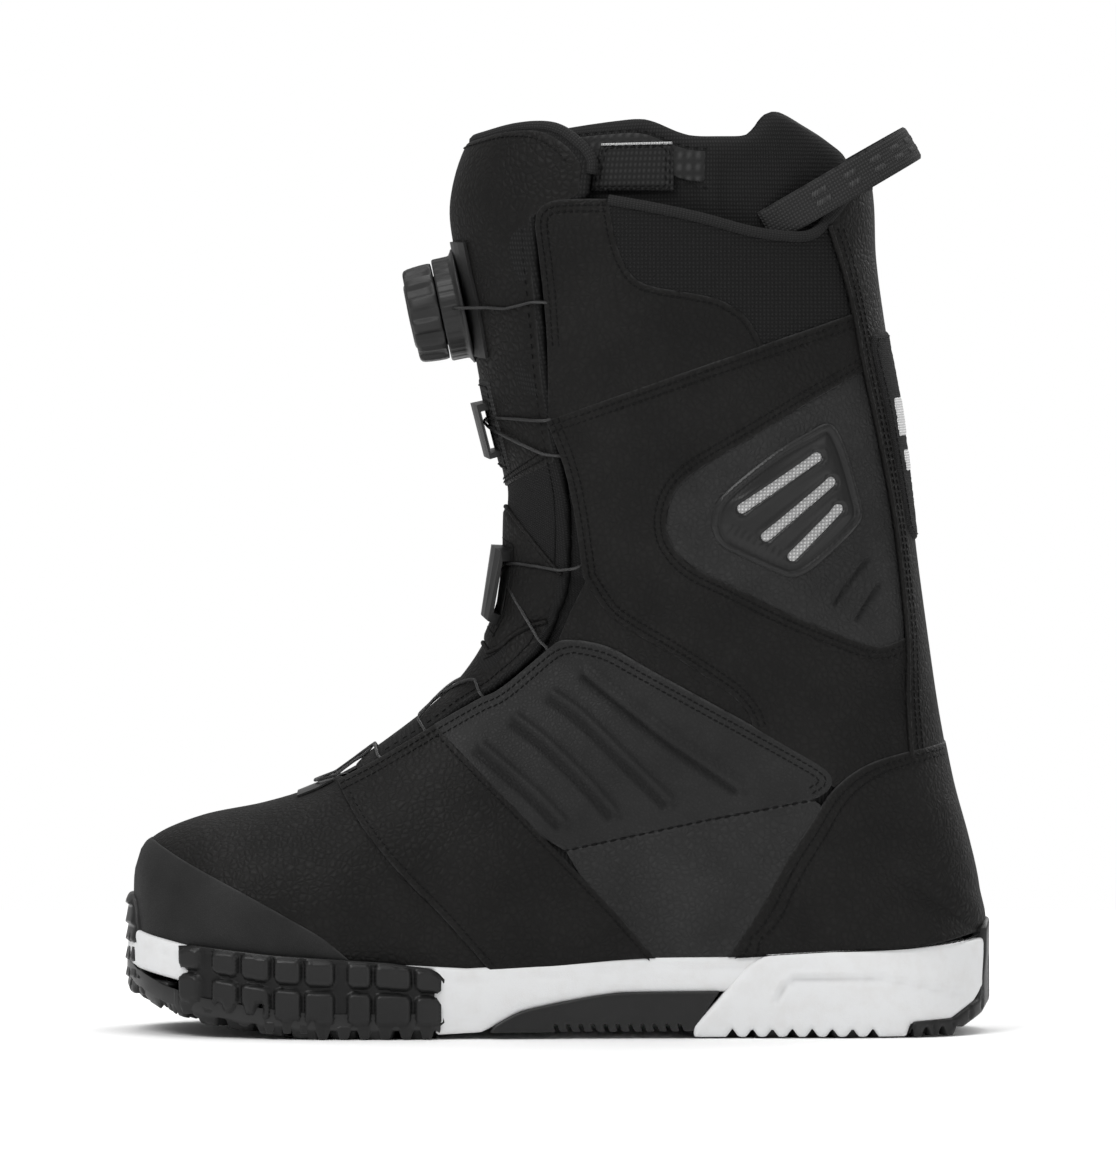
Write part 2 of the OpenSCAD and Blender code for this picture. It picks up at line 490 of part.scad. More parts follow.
module vent_slots() {
    for (q = [[78, 197.4, 26.5], [87.4, 186, 24], [92.4, 174, 20]])
        translate([sx * q[0], 0, sz * q[1]]) rotate([90, -38, 0]) {
            translate([-q[2] / 2, -1.6, -80]) cube([q[2], 3.2, 160]);
        }
}
module vent_frame(side) {
    color([0.05, 0.05, 0.05]) difference() {
        panel(VENT, side, -1.6, -0.5);
        vent_slots();
    }
}
module vent_frame_lateral() { vent_frame(-1); }
module vent_frame_medial() { vent_frame(1); }
module vent_mesh(side) {
    color([0.8, 0.8, 0.8]) panel(VENT_IN, side, -0.4, -0.1);
}
module vent_mesh_lateral() { vent_mesh(-1); }
module vent_mesh_medial() { vent_mesh(1); }
module cuff_panel(side) {
    g = coons(cuff_front, cuff_back, [[-3, 220], [16, 226], [33, 232.5], [71, 246.5]],
              [[-7.5, 289], [-5.5, 294], [1, 297], [18, 297]], 10, 8);
    color([0.1, 0.1, 0.1]) panel(g, side, 0, panel_t);
}
module cuff_panel_lateral() { cuff_panel(-1); }
module cuff_panel_medial() { cuff_panel(1); }
module collar_mesh(side) {
    g = coons(cuff_back, [[104.5, 257], [100.6, 274], [96, 288.5]], [[71, 246.5], [88, 251.5], [104.5, 257]],
              collar_line, 8, 8);
    color([0.06, 0.06, 0.06]) panel(g, side, 0, panel_t);
}
module collar_mesh_lateral() { collar_mesh(-1); }
module collar_mesh_medial() { collar_mesh(1); }
module heel_counter() {
    turn = uv([125, 101.5]);
    back = [uv([138.4, 104])[0], 1];
    top = concat(traced(concat([[64, 31.5]], [for (i = [2:8]) counter_line[i]]), 11, 0),
                 [for (i = [1:5]) lerp(turn, back, i / 5)]);
    n = len(top) - 1;
    low = [for (i = [0:n]) [lerp(uv([63, 28.7])[0], heel_row + 0.02, i / n), 1]];
    upper = round_back(top);
    lower = round_back(low);
    color([0.15, 0.15, 0.16]) {
        g = ruled(upper, lower, 6, 0.01);
        slab(raised(g, 0), raised(g, panel_t));
    }
}
module back_panel() {
    edge = traced(concat(back_seam, [[95.6, 289.4]]), 18, 0.4);
    top = uv([109.9, 301.5])[0];
    low = uv([138.4, 104.4])[0];
    g = [for (i = [0:18]) [for (j = [-5:5]) let (s = 1 - abs(j) / 5, c = [lerp(low, top, i / 18), 1],
                            q = lerp(edge[i], c, s))
            j < 0 ? [q[0], -q[1]] : j == 0 ? [q[0], -1] : [q[0], q[1] - 2 - 1e-5]]];
    color([0.09, 0.09, 0.09]) slab(raised(g, 0), raised(g, panel_t));
}
module heel_patch() {
    g = [for (i = [0:8]) let (u = lerp(19.5, 21.8, i / 8)) [for (j = [0:6]) [u, lerp(-0.87, -1.13, j / 6)]]];
    color([0.25, 0.25, 0.25]) slab(raised(g, -1.1), raised(g, -0.35));
}
module heel_mark() {
    color([0.85, 0.85, 0.85])
        for (r = [[19.9, 20.2], [20.6, 21.3]]) {
            g = [for (i = [0:2]) [for (j = [0:2]) [lerp(r[0], r[1], i / 2), lerp(-0.955, -1.045, j / 2)]]];
            slab(raised(g, -2.1), raised(g, -1.4));
        }
}

// Tongue, gussets and guides
function tongue_edge(u) = u < 23.9 ? throat(u) - 0.014 : lerp(throat(23.9) - 0.014, 0.385,
                        clamp((u - 23.9) / 0.7, 0, 1));
function tongue_top(v) = look([[0, 25.15], [0.1, 25.25], [0.2, 25.4], [0.27, 25.4], [0.33, 25.1],
                        [0.385, 24.6]], abs(v));
tongue_low = 5.75;
module tongue() {
    g = [for (i = [0:23]) [for (j = [0:14])
            let (s = i / 23, v = lerp(-1, 1, j / 14), u0 = lerp(tongue_low, 25.3, s),
                 u = lerp(tongue_low, tongue_top(v * tongue_edge(24.6)), s))
            [u, v * tongue_edge(u)]]];
    color([0.1, 0.1, 0.1]) slab(raised(g, 0), raised(g, tongue_t));
}
module gusset(side) {
    g = [for (i = [0:12]) let (u = lerp(7, 19, i / 12)) [for (j = [0:3]) [u,
                            throat(u) + lerp(-0.05, 0.04, j / 3)]]];
    color([0.1, 0.1, 0.1]) panel(g, side, tongue_t + 0.6, tongue_t + 0.9);
}
module gusset_lateral() { gusset(-1); }
module gusset_medial() { gusset(1); }

// A flat sleeve across the tongue that the lace crosses inside
module sleeve(u0, u1, w) {
    function ring(p, a, b, low, high) = [for (q = [[a, low], [b, low], [b, high], [a, high]]) at(q[0], p,
                            q[1])];
    wall = 0.12 * (u1 - u0);
    ps = [for (j = [0:6]) lerp(-w, w, j / 6)];
    sock([for (p = ps) ring(p, u0, u1, -0.1, -5.2)],
         [for (p = ps) ring(p, u0 + wall, u1 - wall, -0.8, -4.4)], true);
}
module tongue_guides() {
    color([0.15, 0.15, 0.15]) {
        sleeve(18.6, 20, 0.075);
        sleeve(10.4, 14.6, 0.085);
    }
}
module throat_guide() {
    g = [for (i = [0:2]) [for (j = [0:6]) [lerp(4.6, 5.3, i / 2), lerp(-0.09, 0.09, j / 6)]]];
    color([0.12, 0.12, 0.12]) slab(raised(g, -0.8), raised(g, -0.1));
}
// Channels that carry the lace under the panels' front edges: side-view x, z down the edge
CHANNELS = [[[-4.6, 264], [-3.4, 242], [-3, 219]], [[-0.1, 208], [2, 191.5], [6.4, 165]],
            [[-1, 137.5], [-20.5, 126], [-29, 122]], [[-46, 108], [-54, 103.2], [-61, 99.1]]];
guide_depth = [3.15, 4.05];
module quarter_guides() {
    color([0.13, 0.13, 0.13]) for (side = [-1, 1], c = CHANNELS)
        panel([for (q = traced(c, 4, 0)) [for (p = [0.01, 0.022, 0.034]) [q[0], q[1] + p]]],
              side, guide_depth[0], guide_depth[1]);
}

// Dial, on its own axis: h is the height above the tongue
dial_at = [-32, 0, 260];
dial_tilt = 12;
base_r = knob_r + 0.8;
cup_r = base_r - 3;
post_r = 2.7;
running = 0.05;
ring_h = [6.9, 8.9];
teeth = 36;
module on_dial() {
    translate([sx * dial_at[0], 0, sz * dial_at[2]]) rotate([0, -90 - dial_tilt, 0]) children();
}
module tube(r_out, r_in, low, high) {
    translate([0, 0, low]) difference() {
        cylinder(r = r_out, h = high - low);
        translate([0, 0, -1]) cylinder(r = r_in, h = high - low + 2);
    }
}
module disc(r, low, high) {
    translate([0, 0, low]) cylinder(r = r, h = high - low);
}
module toothed(n, r_tip, r_root, low, high) {
    translate([0, 0, low]) linear_extrude(high - low)
        polygon([for (i = [0:n - 1]) each [r_root * [cos(360 * i / n), sin(360 * i / n)],
                                           r_tip * [cos(360 * (i + 0.85) / n), sin(360 * (i + 0.85) / n)]]]);
}
module dial_plate() {
    g = [for (i = [0:4]) [for (j = [0:8]) [lerp(21, 23.15, i / 4), lerp(-0.115, 0.115, j / 8)]]];
    color([0.12, 0.12, 0.12]) slab(raised(g, -1.5), raised(g, -0.3));
}
module dial_base() {
    color([0.1, 0.1, 0.1]) on_dial() difference() {
        union() {
            disc(base_r, 2.5, 3.5);
            tube(base_r, cup_r, 3.4, 9.6);
            disc(post_r, 3.4, 9);
        }
        for (y = [-1, 1]) translate([-1.5, y * (cup_r + 2) - 3, 4.2]) cube([3, 6, 1.9]);
        disc(1.25, 2.9, 12);
    }
}
module ratchet_ring() {
    color([0.2, 0.2, 0.2]) on_dial() difference() {
        disc(cup_r - 0.02, ring_h[0], ring_h[1]);
        toothed(teeth, cup_r - 0.9, cup_r - 2, ring_h[0] - 1, ring_h[1] + 1);
    }
}
module spool() {
    color([0.75, 0.75, 0.75]) on_dial() difference() {
        union() {
            disc(6, 3.7, 6.6);
            disc(cup_r - 0.5, 3.7, 4.3);
            disc(cup_r - 0.5, 6, 6.6);
            translate([0, 0, 6.5]) cylinder(r = 5, h = 2.3, $fn = 6);
        }
        disc(post_r + running, 0, 12);
    }
}
module spooled_lace() {
    color([0.7, 0.7, 0.72]) on_dial() tube(11.5, 6.1, 4.4, 5.9);
}
module centre_screw() {
    color([0.6, 0.6, 0.62]) on_dial() {
        disc(1.22, 3, 14.1);
        difference() {
            disc(3.2, 14, 15.4);
            translate([0, 0, 14.6]) cylinder(r = 1.3, h = 2, $fn = 6);
        }
    }
}
module pawl_disc() {
    color([0.3, 0.3, 0.3]) on_dial() difference() {
        union() {
            toothed(teeth / 3, cup_r - 2.25, cup_r - 3.2, ring_h[0] + 0.15, ring_h[1] - 0.15);
            disc(7.5, ring_h[1] - 0.2, 10.6);
        }
        translate([0, 0, 5]) cylinder(r = 5.08, h = 3.95, $fn = 6);
        disc(post_r + 0.4, 5, 12);
    }
}
module knob() {
    color([0.16, 0.16, 0.17]) on_dial() difference() {
        disc(knob_r, 10, 20.6);
        disc(knob_r - 2.4, 9, 18.4);
        disc(11.4, 19.4, 22);
        disc(3.6, 17, 20);
        for (i = [0:knob_grips - 1]) rotate(360 * i / knob_grips) translate([knob_r + 3.6, 0,
                                9]) cylinder(r = 4.6, h = 13);
    }
    color([0.16, 0.16, 0.17]) on_dial() tube(7.5, 3.6, 10.65, 18.6);
}
module knob_cap() {
    color([0.3, 0.3, 0.31]) on_dial() {
        disc(11.35, 19.42, 21.2);
    }
}

// Lace: one loop from one side of the dial to the other, crossing the tongue four times
function eye(x, z, side, d) = let (q = uv([x, z])) at(q[0], side * q[1], d);
function dial_point(q) = let (a = dial_tilt) [sx * dial_at[0] - q[0] * sin(a) - q[2] * cos(a), q[1],
                                              sz * dial_at[2] + q[0] * cos(a) - q[2] * sin(a)];
// Stations from a point on one edge of the tongue to a point on the other: u, p, depth at the ends and the
// middle
function bridge(u0, p0, u1, p1, lift, n = 6) =
    [for (i = [0:n]) let (t = i / n) at(lerp(u0, u1, t), lerp(p0, p1, t), lerp(-1.9, -lift, sin(180 * t)))];
// One half of the loop: it starts on side s; lift is the height at which it passes the other half
function half_lace(s, lift) =
    let (a = uv([-8.5, 261.5]), b = uv([-7, 219.5]), c = uv([-4, 207.5]), d = uv([1.5, 166]),
         e = uv([-5.6, 140.2]),
         f = uv([-28.5, 126]), g = uv([-49, 111.5]), h = uv([-64.5, 102]), k = uv([-72, 97.5]))
    concat([dial_point([0, s * (cup_r + 1.6), 5.1]), dial_point([0, s * (base_r + 1), 4.9]),
            at(22, s * 0.145, -1.3), at(22, s * 0.2, -1), at(a[0], s * a[1], -1),
            eye(-4, 261.4, s, -0.9), eye(-1.6, 260.4, s, 2.2), eye(-0.4, 257, s, 2.2), eye(0.5, 240, s, 2.2),
            eye(0.2, 224, s, 2.2), eye(-0.8, 220.4, s, 2.2), eye(-3, 219.6, s, -1.6)],
           bridge(b[0], s * b[1], c[0], -s * c[1], lift),
           [eye(0.2, 207, -s, -0.9), eye(2.6, 206, -s, 2.2), eye(3.8, 203, -s, 2.2), eye(6, 187, -s, 2.2),
            eye(9, 172, -s, 2.2), eye(9, 168, -s, 2.2), eye(6.4, 166.6, -s, -0.9)],
           bridge(d[0], -s * d[1], e[0], s * e[1], lift, 7),
           [eye(-3, 138, s, -0.9), eye(-4, 134.6, s, 2.2), eye(-7, 130.6, s, 2.2), eye(-20, 122.6, s, 2.2),
            eye(-25, 119.6, s, 2.2), eye(-27.4, 121.6, s, -0.9)],
           bridge(f[0], s * f[1], g[0], -s * g[1], lift, 7),
           [eye(-46.6, 108, -s, -0.9), eye(-47.8, 105.2, -s, 2.2), eye(-52, 102.4, -s, 2.2),
            eye(-60, 97.2, -s, 2.2), eye(-63, 98.2, -s, -1.7)],
           bridge(h[0], -s * h[1], k[0], s * k[1], lift, 6),
           [at(5.35, s * 0.09, -1.6), at(5.05, s * 0.05, -1.9), at(4.95, s * 0.012, -1.9)]);
module lace() {
    color([0.72, 0.72, 0.74]) cord(concat(half_lace(-1, 2.4), reversed(half_lace(1, 3.6))), lace_d / 2, 6);
}

// Liner
LINER_TOP = [[0, 25.5], [0.2, 25.5], [0.46, 25.6], [0.54, 25.2], [0.668, 25.2], [0.705, 25.68],
             [0.742, 25.74],
             [0.805, 25.45], [1, 24.85]];
liner_split = 13;
liner_throat = 0.19;
module liner_slab(g, depth_out, depth_in) {
    t_out = inset_table(depth_out, floor_gap);
    t_in = inset_table(depth_in, floor_gap + 5);
    slab([for (r = g) [for (q = r) skin_of(t_out, heel_end_x - depth_out, q[0], q[1])]],
         [for (r = g) [for (q = r) skin_of(t_in, heel_end_x - depth_in, q[0], q[1])]]);
}
module liner_foot() {
    t_out = inset_table(liner_out, floor_gap);
    t_in = inset_table(liner_in, floor_gap + 5);
    us = [0.5, 1, 1.6, 2.4, 3.4, 4.6, 6, 7, 8, 9, 10, 11, 12, liner_split];
    ps = [for (j = [0:23]) let (t = lerp(-1, 1, j / 23)) sign(t) * pow(abs(t), 1.3)];
    color([0.12, 0.12, 0.12])
        sock([for (u = us) [for (p = ps) skin_of(t_out, heel_end_x - liner_out, u, p)]],
             [for (u = us) [for (p = ps) skin_of(t_in, heel_end_x - liner_in, u, p)]]);
}
module liner_cuff() {
    g = [for (i = [0:12]) [for (j = [0:26]) let (p = lerp(-0.205, -1.795, j / 26))
            [lerp(liner_split + 0.12, look(LINER_TOP, abs(fold(p))), i / 12), p]]];
    color([0.12, 0.12, 0.12]) liner_slab(g, liner_out, liner_in);
}
module liner_tongue() {
    g = [for (i = [0:12]) [for (j = [0:6]) [lerp(liner_split + 0.3, 25.45, i / 12),
                            lerp(-liner_throat, liner_throat, j / 6)]]];
    color([0.14, 0.14, 0.14]) liner_slab(g, liner_out, liner_in);
}
module liner_patch() {
    g = [for (i = [0:2]) [for (j = [0:4]) [lerp(24.15, 25.1, i / 2), lerp(-0.385, -0.52, j / 4)]]];
    t_out = inset_table(liner_out - 0.9, floor_gap);
    t_in = inset_table(liner_out - 0.15, floor_gap);
    color([0.2, 0.2, 0.2]) slab([for (r = g) [for (q = r) skin_of(t_out, 145, q[0], q[1])]],
                                [for (r = g) [for (q = r) skin_of(t_in, 145, q[0], q[1])]]);
}
module footbed() {
    color([0.3, 0.32, 0.35]) sole_bar(concat(stations(-135.5, -112, 8, -1), [for (x = [-98:14:98]) x],
                            stations(106, 133, 8, 1)),
        -17.5, function(x) look(TOP_Z, x) + 9, function(x) look(TOP_Z, x) + 12.8);
}

// Pull loop: a webbing band on edge, in a plane that rises backwards from its stitched ends
loop_at = [84, 291];
loop_rise = 36;
loop_reach = 52;
loop_w = 12;
loop_t = 1.4;
module pull_loop() {
    function mid_at(a, r) = [(loop_reach + r) * pow(sin(a), 0.9),
                            (41.9 + r) * sign(cos(a)) * pow(abs(cos(a)), 0.8)];
    function row(r) = [for (i = [0:16]) let (q = mid_at(180 * i / 16, r)) [for (n = [-1, 1])
        [sx * loop_at[0] + q[0] * cos(loop_rise) - n * loop_w / 2 * sin(loop_rise), sy * q[1],
         sz * loop_at[1] + q[0] * sin(loop_rise) + n * loop_w / 2 * cos(loop_rise)]]];
    color([0.1, 0.1, 0.1]) slab(row(loop_t / 2), row(-loop_t / 2));
}

midsole();
heel_pod();
arch_insert();
outsole_forefoot();
toe_tread();
heel_tread();
insole_board();
shank();
vamp_lining();
quarter_lining_lateral();
quarter_lining_medial();
toe_puff();
heel_stiffener();
spine_stiffener();
vamp();
toe_overlay();
forefoot_quarter_lateral();
forefoot_quarter_medial();
instep_panel_lateral();
instep_panel_medial();
side_panel_lateral();
side_panel_medial();
ankle_wrap_lateral();
ankle_wrap_medial();
ankle_panel_lateral();
ankle_panel_medial();
vent_frame_lateral();
vent_frame_medial();
vent_mesh_lateral();
vent_mesh_medial();
cuff_panel_lateral();
cuff_panel_medial();
collar_mesh_lateral();
collar_mesh_medial();
heel_counter();
back_panel();
heel_patch();
heel_mark();
tongue();
gusset_lateral();
gusset_medial();
tongue_guides();
throat_guide();
quarter_guides();
dial_plate();
dial_base();
ratchet_ring();
spool();
spooled_lace();
centre_screw();
pawl_disc();
knob();
knob_cap();
lace();
liner_foot();
liner_cuff();
liner_tongue();
liner_patch();
footbed();
pull_loop();
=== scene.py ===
"""A left snowboard boot: panelled upper, cup sole, front dial with a steel lace, and a padded liner.

Every length is in millimetres until a mesh is made. The frame is the CAD's: +X toe to heel, and -Y is
the outer side. The upper is a skin of plane sections. A place on it is (u, p): u counts the sections from
the toe, and p runs from 0 at the front or top to -1 down the outer side and 1 down the inner side.
"""
import math

import bpy
import numpy as np
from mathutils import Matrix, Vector, geometry


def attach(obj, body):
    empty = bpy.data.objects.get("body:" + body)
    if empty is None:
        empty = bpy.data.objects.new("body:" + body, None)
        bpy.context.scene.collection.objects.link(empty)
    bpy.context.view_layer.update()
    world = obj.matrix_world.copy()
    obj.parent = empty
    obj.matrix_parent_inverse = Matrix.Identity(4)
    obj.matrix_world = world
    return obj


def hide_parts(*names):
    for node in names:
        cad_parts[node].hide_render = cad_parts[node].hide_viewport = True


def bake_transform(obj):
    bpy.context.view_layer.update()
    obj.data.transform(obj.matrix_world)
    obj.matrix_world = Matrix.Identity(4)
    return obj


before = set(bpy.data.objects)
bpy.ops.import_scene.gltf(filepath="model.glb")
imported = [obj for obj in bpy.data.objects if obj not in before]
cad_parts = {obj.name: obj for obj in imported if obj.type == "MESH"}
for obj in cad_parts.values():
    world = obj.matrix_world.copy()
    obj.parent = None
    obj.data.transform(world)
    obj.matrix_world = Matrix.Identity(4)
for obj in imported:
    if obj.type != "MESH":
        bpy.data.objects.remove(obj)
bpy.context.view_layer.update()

rng = np.random.default_rng(7)
MM = 0.001
LATERAL, MEDIAL = -1, 1
BOTH = (LATERAL, MEDIAL)

# ---------------------------------------------------------------- camera, lights and floor


def aim(obj, target):
    """Point a camera or light at a place."""
    obj.rotation_euler = (Vector(target) - obj.location).to_track_quat("-Z", "Y").to_euler()


camera_data = bpy.data.cameras.new("camera")
camera = bpy.data.objects.new("camera", camera_data)
bpy.context.collection.objects.link(camera)
bpy.context.scene.camera = camera
VIEW_DISTANCE = 4.5
VIEW_HEIGHT = 0.4199
SENSOR = 36
VIEW_RISE = math.radians(1.8)
VIEW_CENTRE = (0.0005, 0.0, 0.1592)
camera_data.sensor_fit = "VERTICAL"
camera_data.sensor_height = SENSOR
camera_data.lens = SENSOR * VIEW_DISTANCE / VIEW_HEIGHT
camera_data.clip_end = 50
camera.location = (VIEW_CENTRE[0], -VIEW_DISTANCE * math.cos(VIEW_RISE),
                   VIEW_CENTRE[2] + VIEW_DISTANCE * math.sin(VIEW_RISE))
aim(camera, VIEW_CENTRE)


def area_light(name, place, target, size, power):
    """A soft rectangular light, in metres and watts."""
    data = bpy.data.lights.new(name, "AREA")
    data.shape = "RECTANGLE"
    data.size, data.size_y = size
    data.energy = power
    light = bpy.data.objects.new(name, data)
    light.location = place
    aim(light, target)
    bpy.context.collection.objects.link(light)


area_light("key_light", (-0.8, -1.1, 1.4), (0, 0, 0.12), (1.0, 1.0), 21)
area_light("top_light", (0.1, 0.2, 1.9), (0, 0, 0.1), (1.6, 1.2), 20)
area_light("back_light", (0.9, 1.1, 1.0), (0, 0, 0.15), (1.2, 1.0), 12)
area_light("fill_light", (1.1, -1.5, 0.6), (0, 0, 0.12), (1.0, 1.0), 5)

world = bpy.data.worlds.new("studio")
bpy.context.scene.world = world
world.use_nodes = True
# The sheet behind the boot is white, and dimmer as a light than as a background
SKY_LIGHT, SKY_SEEN = 0.4, 1.0
sky = world.node_tree.nodes["Background"]
sky.inputs["Color"].default_value = (1, 1, 1, 1)
ray = world.node_tree.nodes.new("ShaderNodeLightPath")
dim = world.node_tree.nodes.new("ShaderNodeMapRange")
dim.inputs["To Min"].default_value = SKY_LIGHT
dim.inputs["To Max"].default_value = SKY_SEEN
world.node_tree.links.new(ray.outputs["Is Camera Ray"], dim.inputs["Value"])
world.node_tree.links.new(dim.outputs["Result"], sky.inputs["Strength"])
bpy.context.scene.view_settings.view_transform = "Standard"

# ---------------------------------------------------------------- node materials


class Nodes:
    """A short way to write a material's nodes. A value is a number, a colour or another node's output."""

    def __init__(self, name, **sockets):
        self.material = bpy.data.materials.new(name)
        self.material.use_nodes = True
        self.tree = self.material.node_tree
        self.shader = self.tree.nodes["Principled BSDF"]
        for key, value in sockets.items():
            self.shader.inputs[key.replace("_", " ")].default_value = value

    def put(self, socket, value):
        if isinstance(value, bpy.types.NodeSocket):
            self.tree.links.new(value, socket)
        else:
            socket.default_value = value

    def node(self, kind, inputs=(), out=0, **settings):
        made = self.tree.nodes.new("ShaderNode" + kind)
        for key, value in settings.items():
            setattr(made, key, value)
        for key, value in dict(inputs).items():
            self.put(made.inputs[key], value)
        return made.outputs[out]

    def place(self):
        return self.node("TexCoord", out="Object")

    def flat(self):
        """The piece's own flat coordinates, in metres."""
        return self.node("Attribute", attribute_name="flat", out="Vector")

    def mask(self, name):
        return self.node("Attribute", attribute_name=name, out="Fac")

    def noise(self, where, scale, detail=3.0, rough=0.5):
        return self.node("TexNoise", {"Vector": where, "Scale": scale, "Detail": detail,
                                      "Roughness": rough}, out="Fac")

    def cells(self, where, scale, feature="DISTANCE_TO_EDGE", jitter=1.0):
        return self.node("TexVoronoi", {"Vector": where, "Scale": scale, "Randomness": jitter},
                         out="Distance", feature=feature)

    def wave(self, where, scale, direction="X", profile="SIN", distortion=0.0):
        return self.node("TexWave", {"Vector": where, "Scale": scale, "Distortion": distortion},
                         out="Fac", bands_direction=direction, wave_profile=profile)

    def math(self, kind, a, b=0.0, clamp=False):
        return self.node("Math", {0: a, 1: b}, operation=kind, use_clamp=clamp)

    def spread(self, value, low, high, to_low=0.0, to_high=1.0):
        return self.node("MapRange", {"Value": value, "From Min": low, "From Max": high, "To Min": to_low,
                                      "To Max": to_high})

    def mix(self, factor, a, b):
        made = self.tree.nodes.new("ShaderNodeMix")
        made.data_type = "RGBA"
        for index, value in ((0, factor), (6, a), (7, b)):
            self.put(made.inputs[index], (*value, 1) if isinstance(value, tuple) and len(value) == 3
                     else value)
        return made.outputs[2]

    def finish(self, colour=None, rough=None, bumps=()):
        """bumps is a list of (height, depth in metres), the coarsest first."""
        if colour is not None:
            self.put(self.shader.inputs["Base Color"], colour)
        if rough is not None:
            self.put(self.shader.inputs["Roughness"], rough)
        normal = None
        for height, depth in bumps:
            inputs = {"Height": height, "Distance": depth, "Strength": 1.0}
            if normal is not None:
                inputs["Normal"] = normal
            normal = self.node("Bump", inputs)
        if normal is not None:
            self.tree.links.new(normal, self.shader.inputs["Normal"])
        return self.material


def grey(value, warm=0.0):
    return (value * (1 + warm), value, value * (1 - warm))


def leather(name, tone, warm, rough, cell, depth, edge_and_highlight_tone):
    """Coated leather: grain cells, finer grain inside them, soft patches of tone, painted shade in recesses
    and on cut sides, and a paler edge that is partly the raw edge's colour and partly a painted highlight.
    """
    n = Nodes(name, Specular_IOR_Level=0.13)
    where = n.place()
    bent = n.node("Mix", {0: 0.004, 4: where, 5: n.node("TexNoise", {"Vector": where, "Scale": 60.0},
                                                        out="Color")},
                  out=1, data_type="VECTOR")
    grain = n.spread(n.cells(bent, cell), 0.0, 0.35)
    fine = n.noise(where, cell * 3.2, 4, 0.6)
    patches = n.noise(where, 38, 4, 0.55)
    tone_mix = n.mix(n.spread(patches, 0.35, 0.7), grey(tone * 0.8, warm), grey(tone * 1.25, warm))
    tone_mix = n.mix(n.spread(grain, 0, 1, 0.35, 0), tone_mix, grey(tone * 0.45, warm))
    # Painted highlight, with the raw edge's paler colour: the edge band and cut sides turn paler in
    # streaks.
    raw_edge_and_highlight = n.math("MULTIPLY", n.mask("edge"), n.spread(n.noise(where, 220, 3), 0.3, 0.6), clamp=True)
    # Painted shade: the shade mask darkens the colour in recesses and on the cut sides.
    colour = n.mix(raw_edge_and_highlight, n.mix(n.math("MULTIPLY", n.mask("shade"), 0.75), tone_mix, grey(tone * 0.3)),
                   grey(edge_and_highlight_tone))
    roughness = n.spread(n.math("ADD", grain, patches), 0.3, 1.6, rough + 0.1, rough - 0.08)
    return n.finish(colour, roughness, [(patches, 0.0006), (grain, depth), (fine, depth * 0.35)])


def rubber(name, tone, rough, speck=0.15, depth=0.00006):
    """Moulded rubber or plastic: faint mottling, fine texture, slightly paler edges that are a painted
    highlight, and painted shade in recesses.
    """
    n = Nodes(name, Specular_IOR_Level=0.25)
    where = n.place()
    mottle = n.noise(where, 55, 4)
    fine = n.noise(where, 2600, 2)
    colour = n.mix(n.spread(mottle, 0.3, 0.7), grey(tone * (1 - speck)), grey(tone * (1 + speck)))
    # Painted highlight: the edge mask makes the edges and cut sides paler.
    colour = n.mix(n.math("MULTIPLY", n.mask("edge"), 0.5), colour, grey(min(tone * 1.8 + 0.01, 0.9)))
    # Painted shade: the shade mask darkens grooves, gaps and cut sides.
    colour = n.mix(n.math("MULTIPLY", n.mask("shade"), 0.8), colour, grey(tone * 0.25))
    return n.finish(colour, n.spread(mottle, 0.3, 0.7, rough + 0.07, rough - 0.05), [(fine, depth)])


def foam(name, tone):
    """Painted white foam: slight yellowing in scuffed patches, pores and scuffs, and painted shade in
    recesses.
    """
    n = Nodes(name, Specular_IOR_Level=0.3)
    where = n.place()
    pores = n.cells(where, 2400, "F1")
    scuff = n.noise(where, 130, 5, 0.65)
    colour = n.mix(n.spread(scuff, 0.45, 0.75), grey(tone, -0.008), grey(tone * 0.93, 0.005))
    # Painted shade: the shade mask darkens recesses and cut sides.
    colour = n.mix(n.math("MULTIPLY", n.mask("shade"), 0.5), colour, grey(tone * 0.55))
    return n.finish(colour, n.spread(scuff, 0.3, 0.7, 0.62, 0.5), [(scuff, 0.00012), (pores, 0.00003)])


def weave(name, tone, thread, depth, rough=0.85, contrast=0.35, own_flat=True):
    """Textile along the piece's flat coordinates, or its place. thread is the pitch in metres."""
    n = Nodes(name, Specular_IOR_Level=0.12)
    where = n.flat() if own_flat else n.place()
    scale = 0.314 / thread
    warp = n.wave(where, scale, "X", distortion=0.4)
    weft = n.wave(where, scale, "Y", distortion=0.4)
    cloth = n.math("MULTIPLY", warp, weft)
    fuzz = n.noise(n.place(), 900, 3)
    colour = n.mix(n.math("MULTIPLY", cloth, 1.4, clamp=True), grey(tone * (1 - contrast)),
                   grey(tone * (1 + contrast)))
    return n.finish(colour, rough, [(cloth, depth), (fuzz, depth * 0.5)])


def metal(name, tone, rough, thread=None):
    n = Nodes(name, Metallic=1.0)
    where = n.flat() if thread else n.place()
    strand = n.wave(where, 0.314 / thread, "DIAGONAL") if thread else n.noise(where, 900, 3)
    return n.finish(n.mix(strand, grey(tone * 0.55), grey(tone)),
                    n.spread(strand, 0, 1, rough + 0.12, rough),
                    [(strand, 0.00012 if thread else 0.00002)])


